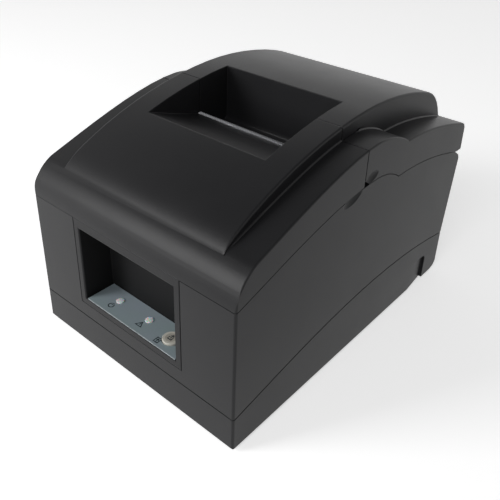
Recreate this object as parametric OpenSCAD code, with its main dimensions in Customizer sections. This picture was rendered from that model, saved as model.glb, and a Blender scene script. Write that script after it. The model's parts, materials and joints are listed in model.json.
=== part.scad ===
// Dot matrix receipt printer for 76 mm paper, with a ribbon cover in front and a paper cover behind.
// Side views are drawn as [y, z] points: y runs back from the front face, z up from the table edge
// of the base. Front views are drawn as [x, z] points.

/* [Case] */
// Width of the case
case_w = 160; // [154:1:176]
// Depth of the base at the table
base_d = 225.5; // [223:0.5:229]
// How far the rear cover stands out behind the base
overhang = 6; // [4.5:0.5:9]
// Wall of the mouldings
wall = 2.5; // [2:0.1:3]
// Floor of the base
floor_t = 2.5; // [2:0.1:3.5]
// Radius of the two upright front corners
corner_r = 1.5; // [1:0.5:6]
// Height of the seam round the base, in front
seam_front = 21.5; // [20:0.5:24]
// Height of the seam round the base, at the back
seam_rear = 29.4; // [28:0.2:32]
// Height of the front cover's lower edge
cover_line_front = 90.6; // [90:0.2:93]
// Height of the rear wall's top edge
rear_wall_top = 91.2; // [90:0.2:92]
// Height of the rubber feet
foot_h = 2; // [1.5:0.25:3]
// Radius of the rubber feet
foot_r = 7; // [5:0.5:8]

/* [Covers] */
// Half width of the raised hump
hump_hw = 62.4; // [60:0.2:66]
// Greatest height of the hump
hump_top = 148; // [147:0.5:152]
// Greatest height of the rim beside the hump
rim_top = 138.1; // [137:0.2:139]
// Where the front cover meets the rear cover
split_y = 103.6; // [103:0.1:104]
// Where the thumb tab of the rear cover ends
valley_y = 149.4; // [147:0.2:152]
// Lower edge of the rear cover, at the back
rear_lip = 95; // [94.8:0.1:96]
// Half width of the well that the paper comes out of
well_hw = 44.9; // [43:0.1:46]
// Front edge of the well
well_front = 60.2; // [56:0.2:64]
// Back wall of the well
well_rear = 129.2; // [127:0.2:131]
// Height of the slit where the paper comes out
slit_z = 122.7; // [121:0.1:124]
// Wall of the well
liner = 2; // [1.6:0.1:2.4]

/* [Cover hinges] */
// Height of the front cover's hinge
front_hinge_z = 62; // [60:0.5:64]
// Height of the rear cover's hinge
rear_hinge_z = 70; // [68:0.5:71]
// Radius of the hinge pins
pin_r = 1.5; // [1.2:0.1:2]
// Radius of the arm round its pin
barrel_r = 4.2; // [3.8:0.1:4.4]
// Width of an arm seen from the side
arm_w = 6; // [5:0.2:7]
// Thickness of an arm
arm_t = 5; // [4:0.2:5.4]

/* [Control panel] */
// Half width of the bezel
bezel_hw = 42.6; // [42:0.1:46]
// Lower edge of the bezel
bezel_low = 31.4; // [30:0.2:33]
// Half width of the recess
recess_hw = 38.4; // [37:0.1:40]
// Floor of the recess
recess_low = 35.2; // [34.6:0.1:36.5]
// Top of the recess
recess_high = 83.3; // [80:0.1:85]
// Depth of the recess
recess_d = 20.5; // [19.5:0.1:21]
// Wall of the recess
recess_wall = 1.5; // [1.2:0.1:1.8]
// Radius of a lamp
lamp_r = 2.5; // [2:0.1:3]
// Radius of the paper feed button
button_r = 5.2; // [4.5:0.1:6]

/* [Print mechanism] */
// Height of the chassis plate
chassis_z = 46; // [45.5:0.1:47]
// Steel of the chassis
sheet = 1.5; // [1.2:0.1:1.8]
// Half width over the side plates
chassis_hw = 59.5; // [59:0.1:60]
// Radius of the main guide shaft
main_rod_r = 3; // [2.5:0.1:3.4]
// Radius of the second guide shaft
side_rod_r = 2; // [1.6:0.1:2.4]
// Radius of the belt pulleys
pulley_r = 6; // [5.6:0.1:6.4]
// Thickness of the belt
belt_t = 1; // [0.8:0.1:1.2]
// Radius of the print head
head_r = 12; // [11:0.25:12]
// Radius of the feed roller
feed_r = 5; // [4.6:0.1:5.2]
// Radius of the pinch roller
pinch_r = 4; // [3.6:0.1:4.2]

/* [Feed gears] */
// Module of the gears
gear_m = 0.8; // [0.76:0.01:0.82]
// Teeth on the feed roller's gear
feed_teeth = 24; // [22:1:26]
// Teeth on the upper idler gear
upper_teeth = 40; // [38:1:42]
// Teeth on the lower idler gear
lower_teeth = 32; // [30:1:34]
// Teeth on the motor pinion
pinion_teeth = 16; // [14:1:18]
// Width of the teeth
gear_w = 4; // [3:0.25:5]

/* [Paper bay] */
// Half width of the paper bay
bay_hw = 41; // [40:0.5:42]
// Wall of the bucket
bucket_wall = 2; // [1.6:0.1:2.4]

/* [Fits] */
// Gap along the seams of the case
seam_gap = 0.4; // [0.3:0.05:0.6]
// Radial clearance of a shaft that turns in its bore
run_fit = 0.06; // [0.03:0.01:0.1]
// Clearance round a piece that slides or drops in
slip = 0.3; // [0.2:0.05:0.4]

/* [Hidden] */
$fn = 64;
charcoal = [0.2, 0.2, 0.21];
dark = [0.13, 0.13, 0.14];
steel = [0.72, 0.73, 0.75];

half_w = case_w / 2;
in_w = half_w - wall;
overall_d = base_d + overhang;
tiny = 0.02;
far = 400;

// ---- Curves of the side view ----

steps = 9;
function bezier(a, b, c, d, t) =
    a * pow(1 - t, 3) + b * (3 * t * pow(1 - t, 2)) + c * (3 * t * t * (1 - t)) + d * pow(t, 3);
// Points of one curve without its last point, so that curves can follow one another
function curve(a, b, c, d, n = steps) = [for (i = [0:n - 1]) bezier(a, b, c, d, i / n)];
function backwards(path) = [for (i = [len(path) - 1:-1:0]) path[i]];
function between(a, b, share) = a + (b - a) * share;
function raised(path, z) = [for (p = path) p + [0, z]];
// The path moved by t to its right-hand side
function inset(path, t) = [
    for (i = [0:len(path) - 1])
        let (a = path[max(i - 1, 0)], b = path[min(i + 1, len(path) - 1)], d = (b - a) / norm(b - a))
            path[i] + t * [d[1], -d[0]]
];

nose_end = [13.7, 111.3];
rim_crest = [114.5, rim_top];
rim_valley = [valley_y, rim_top - 10.1];
rim_back = [overall_d - 3.6, rim_top - 23.1];
rim_path = concat(
    curve([0, cover_line_front], [0.2, 98.6], [4.5, 106.5], nose_end),
    curve(nose_end, [45, 122.5], [85, rim_top - 0.6], rim_crest),
    curve(rim_crest, [127, rim_top], [valley_y - 9.4, rim_top - 4.1], rim_valley),
    curve(rim_valley, [between(valley_y, rim_back[0], 0.29), rim_top - 9.5],
          [between(valley_y, rim_back[0], 0.65), rim_top - 14.6], rim_back),
    curve(rim_back, [overall_d - 1.6, rim_top - 23.7], [overall_d - 0.3, rim_top - 25.6], [overall_d, rim_top - 29], 3),
    [[overall_d, rear_lip]]
);

hump_crest = [140, hump_top];
hump_rear = [overall_d - 24.5, hump_top - 10.6];
hump_path = concat(
    curve([9.4, 107.6], [13, 114.5], [20.5, 118.6], [31, 123.6], 6),
    curve([31, 123.6], [61, 138.2], [104, hump_top], hump_crest),
    curve(hump_crest, [between(hump_crest[0], hump_rear[0], 0.37), hump_top],
          [between(hump_crest[0], hump_rear[0], 0.75), hump_top - 4.8], hump_rear, 6),
    curve(hump_rear, [overall_d - 13.5, hump_top - 14.4],
          [overall_d - 7.5, hump_top - 24], [overall_d - 4, hump_top - 36], 6),
    [[overall_d - 4, hump_top - 36]]
);

// Lower edge of the covers: it dips with the thumb tab and falls to the back
line_crest = [112, 115.6];
line_dip = [valley_y - 6.7, 107.5];
line_back = [overall_d - 7.2, rear_lip];
cover_line = concat(
    curve([0, cover_line_front], [30, cover_line_front + 8.3], [72, 114.8], line_crest),
    curve(line_crest, [124, 116.4], [valley_y - 15.4, 113.4], line_dip, 6),
    curve(line_dip, [between(line_dip[0], line_back[0], 0.26), 108.3],
          [between(line_dip[0], line_back[0], 0.63), 104.6], line_back),
    [line_back]
);

// Seam between base and upper case: it arches along the sides
seam_path = concat(
    curve([0, seam_front], [60, seam_front + 10.5], [130, seam_rear + 19.6], [base_d, seam_rear], 14),
    [[base_d, seam_rear]]
);

// The rear wall of the upper case leans back from the base to the rear cover
function rear_y(z) = base_d + (overall_d - base_d) * (z - seam_rear) / (rear_wall_top - seam_rear);

ramp_end = split_y - 2.9;
ramp = concat(
    curve([well_front, lookup(well_front, hump_path)], [well_front + 14.8, 130], [92, slit_z + 1.7],
          [ramp_end, slit_z], 8),
    [[ramp_end, slit_z]]
);

// ---- Ways of drawing ----

// Everything stands on its feet, with the frame's origin under the middle of the case
module framed() translate([0, -overall_d / 2, foot_h]) children();
// Carries a side view across the machine from x0 to x1
module across(x0, x1) translate([x0, 0, 0]) rotate([90, 0, 90]) linear_extrude(x1 - x0) children();
// Carries a front view back from y0 to y1
module deep(y0, y1) translate([0, y1, 0]) rotate([90, 0, 0]) linear_extrude(y1 - y0) children();
module both_sides() for (s = [0, 1]) mirror([s, 0, 0]) children();
module box(a, b) translate(a) cube(b - a);
module rod_x(x0, x1, yz, r) translate([x0, yz[0], yz[1]]) rotate([0, 90, 0]) cylinder(h = x1 - x0, r = r);
module post(x, y, z0, z1, r) translate([x, y, z0]) cylinder(h = z1 - z0, r = r);
// Straight bar of width w in a 2D view, from a to b
module bar(a, b, w)
    translate(a) rotate(atan2(b[1] - a[1], b[0] - a[0])) translate([0, -w / 2]) square([norm(b - a), w]);
module plan_block(d) translate([0, 0, -1]) linear_extrude(hump_top + 10) {
    translate([-half_w, corner_r]) square([case_w, d - corner_r]);
    translate([corner_r - half_w, 0]) square([case_w - 2 * corner_r, corner_r + 1]);
    for (x = [corner_r - half_w, half_w - corner_r]) translate([x, corner_r]) circle(corner_r);
}

// ---- Base ----

board_z = 8;
board_t = 1.6;
tower_r = 4.5;
screw_r = 1.3;
tower_x = chassis_hw - 7.5;
tower_front = 29.5;
tower_back = 96;
roll_z = 84;
bay = [split_y + 22.9, overall_d - 14];
bucket_r = (bay[1] - bay[0]) / 2;
roll_at = [(bay[0] + bay[1]) / 2, roll_z];
bucket_post_x = bay_hw + 9;
bucket_posts = [bay[0] + 13.5, bay[1] - 12.5];
bucket_ear_z = roll_z - 0.57 * bucket_r;
bucket_ear_t = 2.5;
case_post_x = in_w - 4.7;
case_post_r = 4;
case_posts = [12, base_d - 17.5];
case_post_z = 14;
board_hw = 44;
board_posts = [110, base_d - 35.5];
foot_x = half_w - 24;
feet_y = [14, base_d - 19];
port_z = 17;
interface_x = -13;
drawer_x = 28;
inlet_x = half_w - 27;
switch_x = 22 - half_w;
inlet_r = 7.2;
recess_step = 2;
mark_y = base_d - 20.5;

// Shallow mark low on each side, ramped from the front and stepped at the back
module side_mark() intersection() {
    translate([0, 0, -1]) linear_extrude(22)
        polygon([[half_w, mark_y - 21], [half_w - recess_step, mark_y], [half_w + 1, mark_y], [half_w + 1, mark_y - 21]]);
    across(half_w - recess_step - 1, half_w + 1) {
        translate([mark_y - 22, -2]) square([18, 22]);
        translate([mark_y - 22, -2]) square([22, 18]);
        translate([mark_y - 4, 16]) circle(4);
    }
}

module base_case() color(charcoal) framed() difference() {
    union() {
        difference() {
            intersection() {
                plan_block(base_d);
                across(-half_w, half_w) polygon(concat(
                    [[0.8, 0], [0, 0.8]], raised(seam_path, -seam_gap / 2),
                    [[base_d, 4.6], [base_d - 2.6, 1.4], [base_d - 7.5, 0]]));
            }
            across(-in_w, in_w) polygon([
                [wall, floor_t], [wall, far], [base_d - wall, far], [base_d - wall, floor_t + 3],
                [base_d - wall - 5, floor_t]]);
        }
        both_sides() {
            across(in_w - 0.7, in_w + 0.5) translate([mark_y - 24, floor_t - 1]) square([28, 22]);
            for (y = [tower_front, tower_back]) post(tower_x, y, floor_t / 2, chassis_z - sheet, tower_r);
            for (y = bucket_posts) post(bucket_post_x, y, floor_t / 2, bucket_ear_z, tower_r);
            for (y = case_posts) post(case_post_x, y, 0, case_post_z, case_post_r);
            for (y = board_posts) post(board_hw - 5, y, floor_t / 2, board_z, 3);
        }
    }
    both_sides() {
        side_mark();
        for (y = [tower_front, tower_back]) post(tower_x, y, chassis_z - 14, chassis_z, screw_r);
        for (y = bucket_posts) post(bucket_post_x, y, bucket_ear_z - 12, bucket_ear_z + 1, screw_r);
        for (y = case_posts) {
            post(case_post_x, y, -1, 3, 3.4);
            post(case_post_x, y, -1, case_post_z + 1, 1.8);
        }
        for (x = [board_hw - 5], y = board_posts) post(x, y, floor_t + 1, board_z + 1, 1);
        // air slots under the motors
        for (y = [46:8:78]) box([14, y, -1], [40, y + 3, floor_t + 1]);
    }
    deep(base_d - wall - 1, base_d + 1) {
        translate([interface_x - 20.4, port_z - 5]) square([40.8, 10]);
        translate([drawer_x - 6.9, port_z - 6.1]) square([13.8, 12.2]);
        translate([inlet_x, port_z]) circle(inlet_r + slip);
        translate([switch_x - 9.7, port_z - 7.3]) square([19.4, 14.6]);
    }
}

// ---- Upper case ----

front_hinge = [7.2, front_hinge_z];
rear_hinge = [rear_y(rear_hinge_z) - wall - 5.9, rear_hinge_z];
hinge_boss_r = 5;
hinge_boss = 5.2;
arm_x1 = in_w - hinge_boss - slip;
arm_x0 = arm_x1 - arm_t;
first_mark = [92.5, 112.4];
second_mark = [split_y + 6.2, 118.6];

// Finger mark: a shallow spindle-shaped dent in the side, as long as l and as tall as w
module finger_mark(centre, angle, l, w, depth) {
    r = (w * w / 4 + depth * depth) / (2 * depth);
    big = l * l / (8 * depth);
    translate([half_w + r - depth, centre[0], centre[1]]) rotate([angle - 90, 0, 0])
        rotate_extrude() intersection() {
            translate([r - big, 0]) circle(big, $fn = 128);
            translate([0, -l]) square([r + 1, 2 * l]);
        }
}

module upper_case() color(charcoal) framed() difference() {
    union() {
        difference() {
            intersection() {
                plan_block(overall_d);
                across(-half_w, half_w) polygon(concat(
                    raised(seam_path, seam_gap / 2),
                    [[rear_y(rear_wall_top - 3), rear_wall_top - 3], [rear_y(rear_wall_top) - 2, rear_wall_top]],
                    backwards(raised(cover_line, -seam_gap))));
            }
            across(-in_w, in_w) polygon([
                [wall, 0], [wall, hump_top], [rear_y(hump_top) - wall, hump_top], [rear_y(0) - wall, 0]]);
        }
        both_sides() {
            for (h = [front_hinge, rear_hinge]) rod_x(in_w - hinge_boss, in_w + 0.5, h, hinge_boss_r);
            for (y = case_posts) {
                post(case_post_x, y, case_post_z, 46, case_post_r - slip);
                box([case_post_x, y - 1, 42], [in_w + 0.5, y + 1, 46]);
            }
            // ribs that stiffen the long walls
            for (y = [50, 158]) box([in_w - 1.5, y, 44], [in_w + 0.5, y + 1.5, 94]);
        }
    }
    translate([-bezel_hw - slip, -1, bezel_low - slip]) cube([2 * (bezel_hw + slip), wall + 2, far]);
    both_sides() {
        for (h = [front_hinge, rear_hinge]) rod_x(in_w - hinge_boss - 1, in_w - 0.6, h, pin_r + tiny);
        for (y = case_posts) post(case_post_x, y, case_post_z - 1, 30, screw_r + tiny);
        finger_mark(first_mark, 13, 19, 7, 1.7);
    }
}

module hinge_pins(h) both_sides() rod_x(arm_x0 - 0.8, in_w - 0.9, h, pin_r);
module front_hinge_pins() color(steel) framed() hinge_pins(front_hinge);
module rear_hinge_pins() color(steel) framed() hinge_pins(rear_hinge);

module rubber_feet() color([0.1, 0.1, 0.1]) framed()
    both_sides() for (y = feet_y) post(foot_x, y, -foot_h, 0, foot_r);

// Screw whose head bears at height z, with its shank of radius r going down or up from there
module screw(x, y, z, down, l, r = screw_r) translate([x, y, z]) mirror([0, 0, down ? 0 : 1]) {
    cylinder(h = 1.4 * r, r = 2.05 * r);
    translate([0, 0, -l]) cylinder(h = l, r = r - tiny);
}

module case_screws() color(steel) framed() both_sides() for (y = case_posts) screw(case_post_x, y, 3, false, 22);

module inner_screws() color(steel) framed() {
    for (x = panel_posts) screw(x, recess_d - 5, panel_board_z, false, 6, 0.9);
    both_sides() inner_pair();
}
module inner_pair() {
    for (y = [tower_front, tower_back]) screw(tower_x, y, chassis_z, true, 10);
    for (y = bucket_posts) screw(bucket_post_x, y, bucket_ear_z + bucket_ear_t, true, 10);
    for (y = board_posts) screw(board_hw - 5, y, board_z + board_t, true, 6, 1);
}

// ---- Control panel ----

label_t = 0.4;
lamps = [[-21.4, 12], [4, 12.2]];
button_at = [24.6, 10];
panel_board_z = 26;
panel_board_top = panel_board_z + board_t;
panel_posts = [-12, 14];
button_travel = 1;

module front_bezel() color(charcoal) framed() difference() {
    union() {
        deep(0, wall) translate([-bezel_hw, bezel_low]) square([2 * bezel_hw, far]);
        deep(wall / 2, recess_d + recess_wall) translate([-recess_hw - recess_wall, recess_low - recess_wall])
            square([2 * (recess_hw + recess_wall), recess_high - recess_low + 2 * recess_wall]);
        // ears that bear on the back of the front wall
        both_sides() box([recess_hw, wall, 40], [bezel_hw + 4.5, wall + 1.4, 80]);
        for (x = panel_posts) post(x, recess_d - 5, panel_board_top, recess_low, 2.2);
    }
    deep(-1, recess_d) translate([-recess_hw, recess_low])
        square([2 * recess_hw, recess_high - recess_low]);
    // the top edge follows the front cover and the mouth of the recess is eased
    across(-far, far) polygon([
        [-1, cover_line_front - seam_gap], [6, lookup(6, cover_line) - seam_gap], [6, far * 2], [-1, far * 2]]);
    across(-recess_hw, recess_hw) polygon([[-1, recess_high + 2.4], [1.8, recess_high - 0.1], [-1, recess_high - 0.1]]);
    for (p = lamps) post(p[0], p[1], recess_low - 3, recess_low + 1, lamp_r + 0.1);
    post(button_at[0], button_at[1], recess_low - 3, recess_low + 1, button_r + slip);
    for (x = panel_posts) post(x, recess_d - 5, panel_board_z, recess_low - 2, 0.9);
}

module control_label() color([0.36, 0.42, 0.46]) framed() difference() {
    box([-recess_hw + 1, 0.5, recess_low], [recess_hw - 1, recess_d - 0.3, recess_low + label_t]);
    for (p = lamps) post(p[0], p[1], recess_low - 1, recess_low + 1, lamp_r + 0.15);
    post(button_at[0], button_at[1], recess_low - 1, recess_low + 1, button_r + slip + 0.1);
}

// Lamp: a clear rod with a domed end, standing on the control board
module lamp(p) translate([p[0], p[1], panel_board_top]) {
    cylinder(h = recess_low - panel_board_top + 0.6, r = lamp_r);
    translate([0, 0, recess_low - panel_board_top + 0.6]) rotate_extrude() intersection() {
        translate([0, 1.1 - lamp_r * 1.35]) circle(lamp_r * 1.35);
        square([lamp_r, 2]);
    }
}
module power_led() color("white") framed() lamp(lamps[0]);
module error_led() color("white") framed() lamp(lamps[1]);

module control_board() color([0.1, 0.35, 0.2]) framed() difference() {
    union() {
        box([-30, wall + 1.5, panel_board_z], [36, recess_d - 1, panel_board_top]);
        translate([button_at[0] - 3, button_at[1] - 3, panel_board_top]) cube([6, 6, 3]);
        box([-28, wall + 3, panel_board_z - 5], [-18, wall + 8, panel_board_z]);
    }
    for (x = panel_posts) post(x, recess_d - 5, panel_board_z - 1, panel_board_top + 1, 1);
}

module feed_button() color([0.85, 0.83, 0.78]) framed() translate([button_at[0], button_at[1], 0]) {
    under = recess_low - recess_wall - slip;
    translate([0, 0, under - 1]) cylinder(h = 1, r = button_r + 1.1);
    translate([0, 0, under - tiny]) cylinder(h = recess_low + 1.5 - under, r = button_r);
    translate([0, 0, panel_board_top + 3 + button_travel + 0.2])
        cylinder(h = under - panel_board_top - 4 - button_travel, r = 1.8);
}

// ---- Covers ----

module lid_outer() intersection() {
    plan_block(overall_d);
    union() {
        across(-half_w, half_w) polygon(concat(rim_path, [line_back], backwards(cover_line)));
        across(-hump_hw, hump_hw) polygon(concat(hump_path, [[rear_y(0) - 9, 104], [16, 104]]));
    }
}
module lid_inner() {
    low = 60;
    skin = inset(rim_path, wall);
    crown = inset(hump_path, wall);
    across(-in_w, in_w) polygon(concat(skin, [[overall_d - wall, low], [wall, low]]));
    across(wall - hump_hw, hump_hw - wall)
        polygon(concat(crown, [[crown[len(crown) - 1][0], low], [crown[0][0], low]]));
}
module slab(y0, y1) box([-far, y0, 0], [far, y1, far]);

front_end = split_y - seam_gap / 2;
rear_start = split_y + seam_gap / 2;

// Arm from a cover down to its pin: it goes well away from the wall behind the pin before it rises,
// so that the cover clears the wall when it swings over it
module hinge_arm(pivot, knee) both_sides() difference() {
    across(arm_x0, arm_x1) {
        translate(pivot) circle(barrel_r);
        bar(pivot, knee, arm_w);
        translate(knee) circle(arm_w / 2);
        bar(knee, [knee[0], lookup(knee[0], rim_path) - wall / 2 - 0.6], arm_w);
    }
    rod_x(arm_x0 - 1, arm_x1 + 1, pivot, pin_r + run_fit);
}
// Web that carries the top of an arm to the side wall of its cover
module arm_web(y) both_sides() across(arm_x0, in_w + 0.5) translate([y - 1, lookup(y, cover_line) + 4])
    square([2, lookup(y, rim_path) - lookup(y, cover_line) - 4 - wall / 2 - 0.6]);

front_knee = front_hinge + 31 * [cos(30), sin(30)];
rear_knee = rear_hinge + 28 * [-cos(24), sin(24)];

module front_cover() color(charcoal) framed() difference() {
    union() {
        difference() {
            intersection() {
                lid_outer();
                slab(-1, front_end);
            }
            lid_inner();
        }
        intersection() {
            lid_outer();
            slab(-1, front_end);
            across(-well_hw - liner, well_hw + liner) polygon(concat(
                [[well_front - 3, lookup(well_front, hump_path) - liner / 2]], [for (p = ramp) p - [0, liner]],
                [[front_end, slit_z - liner - 0.6], [front_end, far], [well_front - 3, far]]));
        }
        hinge_arm(front_hinge, front_knee);
        arm_web(front_knee[0]);
    }
    // the well, open above the ramp and behind it
    across(-well_hw, well_hw) polygon(concat(
        ramp, [[ramp_end, slit_z - 6], [split_y + 1, slit_z - 6], [split_y + 1, far], [well_front, far]]));
}

bar_back = split_y - 0.4;
tear_pitch = 1.5;
// Steel strip with a saw edge, on the rear end of the ramp
module tear_bar() color(steel) framed() deep(ramp_end, bar_back) {
    n = floor((well_hw * 2 - 1) / tear_pitch);
    polygon(concat(
        [[-well_hw + 0.1, slit_z - 5]],
        [for (i = [0:n]) for (p = [[i - n / 2, 0.1], [i - n / 2 + 0.5, 0.9]])
            [min(p[0] * tear_pitch, well_hw - 0.1), slit_z + p[1]]],
        [[well_hw - 0.1, slit_z - 5]]));
}

slit_back = split_y + 4.4;
well_floor = slit_z - 11.7;
bracket_t = 3;
feed_at = [100.2, chassis_z + 48];
pinch_at = [feed_at[0] + feed_r + pinch_r + slip, feed_at[1]];
bracket_y0 = split_y + 1;

module rear_cover() color(charcoal) framed() difference() {
    union() {
        difference() {
            intersection() {
                lid_outer();
                slab(rear_start, overall_d + 1);
            }
            lid_inner();
        }
        intersection() {
            lid_outer();
            slab(rear_start, overall_d + 1);
            across(-well_hw - liner, well_hw + liner) polygon([
                [rear_start, slit_z - 20], [slit_back, slit_z - 21.5], [well_rear + liner, well_floor - 2.5],
                [well_rear + liner, far], [rear_start, far]]);
        }
        // the floor of the well and the brackets of platen and pinch roller hang below the skin
        across(-well_hw - liner, well_hw + liner) polygon([
            [rear_start, slit_z - 20], [slit_back, slit_z - 21.5], [well_rear + liner, well_floor - 2.5],
            [well_rear + liner, lookup(well_rear, hump_path) - wall], [rear_start, lookup(rear_start, hump_path) - wall]]);
        both_sides() across(well_hw, well_hw + bracket_t) polygon([
            [bracket_y0, feed_at[1] - 26], [bracket_y0 + 9, feed_at[1] - 26], [bracket_y0 + 12, feed_at[1] + 8],
            [bracket_y0 + 12, slit_z - 18], [bracket_y0, slit_z - 18]]);
        hinge_arm(rear_hinge, rear_knee);
        arm_web(rear_knee[0]);
    }
    across(-well_hw, well_hw) polygon([
        [split_y - 1, 60], [slit_back, 60], [slit_back, slit_z - 19], [well_rear - 5, well_floor - 1.6],
        [well_rear - 1.4, well_floor + 0.6], [well_rear, well_floor + 4], [well_rear, far], [split_y - 1, far]]);
    both_sides() {
        rod_x(well_hw - 1, well_hw + bracket_t + 1, pinch_at, pin_r + run_fit);
        finger_mark(second_mark, 10, 15, 6, 1.5);
        // the lower front corner is sunk for a fingertip
        across(half_w - 1.8, half_w + 1) polygon([
            [split_y - 1, line_crest[1] - 4], [split_y + 5, line_crest[1] - 4], [split_y + 4.4, line_crest[1] + 0.2],
            [split_y - 1, line_crest[1] + 4.4]]);
    }
}

module platen() color(dark) framed() box(
    [-well_hw, pinch_at[0] - 3.3, chassis_z + 23.5], [well_hw, pinch_at[0] + 2.5, chassis_z + 37]);

module pinch_roller() color(dark) framed() {
    rod_x(-well_hw - bracket_t, well_hw + bracket_t, pinch_at, pin_r);
    for (x = [-34, -8, 18]) rod_x(x, x + 16, pinch_at, pinch_r);
}

// ---- Print mechanism ----

plate_x = chassis_hw - sheet;
main_rod_at = [72, chassis_z + 12];
side_rod_at = [92, chassis_z + 12];
pulley_x = chassis_hw - 13.5;
pulley_y = 50;
belt_z = chassis_z + 2;
belt_w = 6;
belt_r = pulley_r + slip;
shaft_r = 1.5;
head_y = main_rod_at[0] - 4;
head_z = chassis_z + 30;
cassette_z = chassis_z + 23;
cassette_top = cassette_z + 14;
roller_shaft_r = 2.5;
gear_x = chassis_hw + 0.6 + gear_w;
stud_r = 2;

pitch_feed = gear_m * feed_teeth / 2;
pitch_upper = gear_m * upper_teeth / 2;
pitch_lower = gear_m * lower_teeth / 2;
pitch_pinion = gear_m * pinion_teeth / 2;
dir_upper = 256;
dir_lower = 258;
dir_pinion = 213.5;
upper_at = feed_at + (pitch_feed + pitch_upper) * [cos(dir_upper), sin(dir_upper)];
lower_at = upper_at + (pitch_upper + pitch_lower) * [cos(dir_lower), sin(dir_lower)];
pinion_at = lower_at + (pitch_lower + pitch_pinion) * [cos(dir_pinion), sin(dir_pinion)];
feed_motor_r = 13.4;
carriage_motor_r = 15;

module chassis_side(extra) {
    difference() {
        union() {
            polygon([
                [24, chassis_z - sheet], [24, cassette_z], [66, cassette_z], [69, cassette_top + 4],
                [91, cassette_top + 4], [95, feed_at[1] + 5], [split_y + 0.7, feed_at[1] + 5],
                [split_y + 0.7, chassis_z - sheet]]);
            if (extra) polygon([[58, chassis_z], [split_y - 2, chassis_z], [split_y - 2, lower_at[1] - 14],
                [76, pinion_at[1] - 14], [58, pinion_at[1] - 14]]);
        }
        translate(main_rod_at) circle(main_rod_r + tiny);
        translate(side_rod_at) circle(side_rod_r + tiny);
        translate(feed_at) circle(roller_shaft_r + run_fit);
        if (extra) translate(pinion_at) circle(4);
        translate([44, chassis_z + 11]) circle(6);
    }
}

module mech_chassis() color(steel) framed() {
    difference() {
        box([-chassis_hw, 24, chassis_z - sheet], [chassis_hw, split_y + 0.7, chassis_z]);
        both_sides() for (y = [tower_front, tower_back]) post(tower_x, y, chassis_z - 5, chassis_z + 5, screw_r + 0.2);
        post(pulley_x, pulley_y, chassis_z - 5, chassis_z + 5, 4);
        box([-30, 62, chassis_z - 5], [30, split_y - 16, chassis_z + 5]);
    }
    across(plate_x, chassis_hw) chassis_side(false);
    across(-chassis_hw, -plate_x) chassis_side(true);
    for (c = [upper_at, lower_at]) rod_x(-gear_x - 1, -plate_x - tiny, c, stud_r);
    post(-pulley_x, pulley_y, chassis_z - tiny, belt_z + belt_w + 2.2, shaft_r);
}

module main_guide_shaft() color(steel) framed() rod_x(-chassis_hw, chassis_hw, main_rod_at, main_rod_r);
module side_guide_shaft() color(steel) framed() rod_x(-chassis_hw, chassis_hw, side_rod_at, side_rod_r);

module print_carriage() color(dark) framed() difference() {
    union() {
        box([-13, 64, chassis_z + 6.5], [13, 98, head_z - head_r]);
        // upright that carries the head's flange
        box([-13, head_y + 23, head_z - head_r - 1], [13, head_y + 26, head_z - 3]);
        // clamp over the rear run of the belt
        box([-4, pulley_y + belt_r - 1.4, chassis_z + 0.6], [4, 65, belt_z + belt_w + 3]);
    }
    rod_x(-20, 20, main_rod_at, main_rod_r + run_fit);
    rod_x(-20, 20, side_rod_at, side_rod_r + run_fit);
    box([-20, side_rod_at[0] - side_rod_r - 0.3, chassis_z], [20, side_rod_at[0] + side_rod_r + 0.3, side_rod_at[1]]);
    box([-20, pulley_y + belt_r - slip, chassis_z], [20, pulley_y + belt_r + belt_t + slip, belt_z + belt_w + slip]);
}

// Finned aluminium body with the pin nose towards the platen
module print_head() color([0.5, 0.51, 0.53]) framed() {
    translate([0, head_y, head_z]) rotate([-90, 0, 0]) rotate_extrude() polygon(concat(
        [[0, 0]],
        [for (i = [0:5]) for (p = [[head_r, 0], [head_r, 1.7], [head_r - 3, 1.7], [head_r - 3, 3.4]])
            [p[0], i * 3.4 + p[1]]],
        [[0, 20.4]]));
    box([-head_r, head_y + 20, head_z - 11], [head_r, head_y + 23, head_z + 9]);
    deep(head_y + 23 - tiny, head_y + 29) polygon([[-7, head_z - 2], [7, head_z - 2], [5, head_z + 8], [-5, head_z + 8]]);
    deep(head_y + 29 - tiny, split_y - 1.8) translate([-2.5, head_z - 2]) square([5, 9]);
}

module belt_loop(r, z0, z1) translate([0, 0, z0]) linear_extrude(z1 - z0) {
    translate([-pulley_x, pulley_y - r]) square([2 * pulley_x, 2 * r]);
    for (s = [-1, 1]) translate([s * pulley_x, pulley_y]) circle(r);
}
module carriage_belt() color([0.08, 0.08, 0.08]) framed() difference() {
    belt_loop(belt_r + belt_t, belt_z, belt_z + belt_w);
    belt_loop(belt_r, belt_z - 1, belt_z + belt_w + 1);
}

module pulley(x) {
    post(x, pulley_y, belt_z - 1, belt_z + belt_w + 1, pulley_r);
    for (z = [belt_z - 1, belt_z + belt_w + 0.2]) post(x, pulley_y, z, z + 0.8, pulley_r + belt_t + 0.7);
}
module drive_pulley() color([0.8, 0.78, 0.7]) framed() {
    pulley(pulley_x);
    post(pulley_x, pulley_y, chassis_z - 9, belt_z + belt_w + 2, shaft_r);
}
module idler_pulley() color([0.8, 0.78, 0.7]) framed() difference() {
    pulley(-pulley_x);
    post(-pulley_x, pulley_y, chassis_z, far, shaft_r + run_fit);
}
module carriage_motor() color([0.45, 0.46, 0.48]) framed() difference() {
    post(pulley_x, pulley_y, chassis_z - sheet - 20, chassis_z - sheet, carriage_motor_r);
    post(pulley_x, pulley_y, chassis_z - 10, chassis_z + 1, shaft_r + run_fit);
}

// ---- Feed gears ----

pressure = 20;
backlash = 0.2;
function involute(a) = tan(a) * 180 / PI - a;
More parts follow.
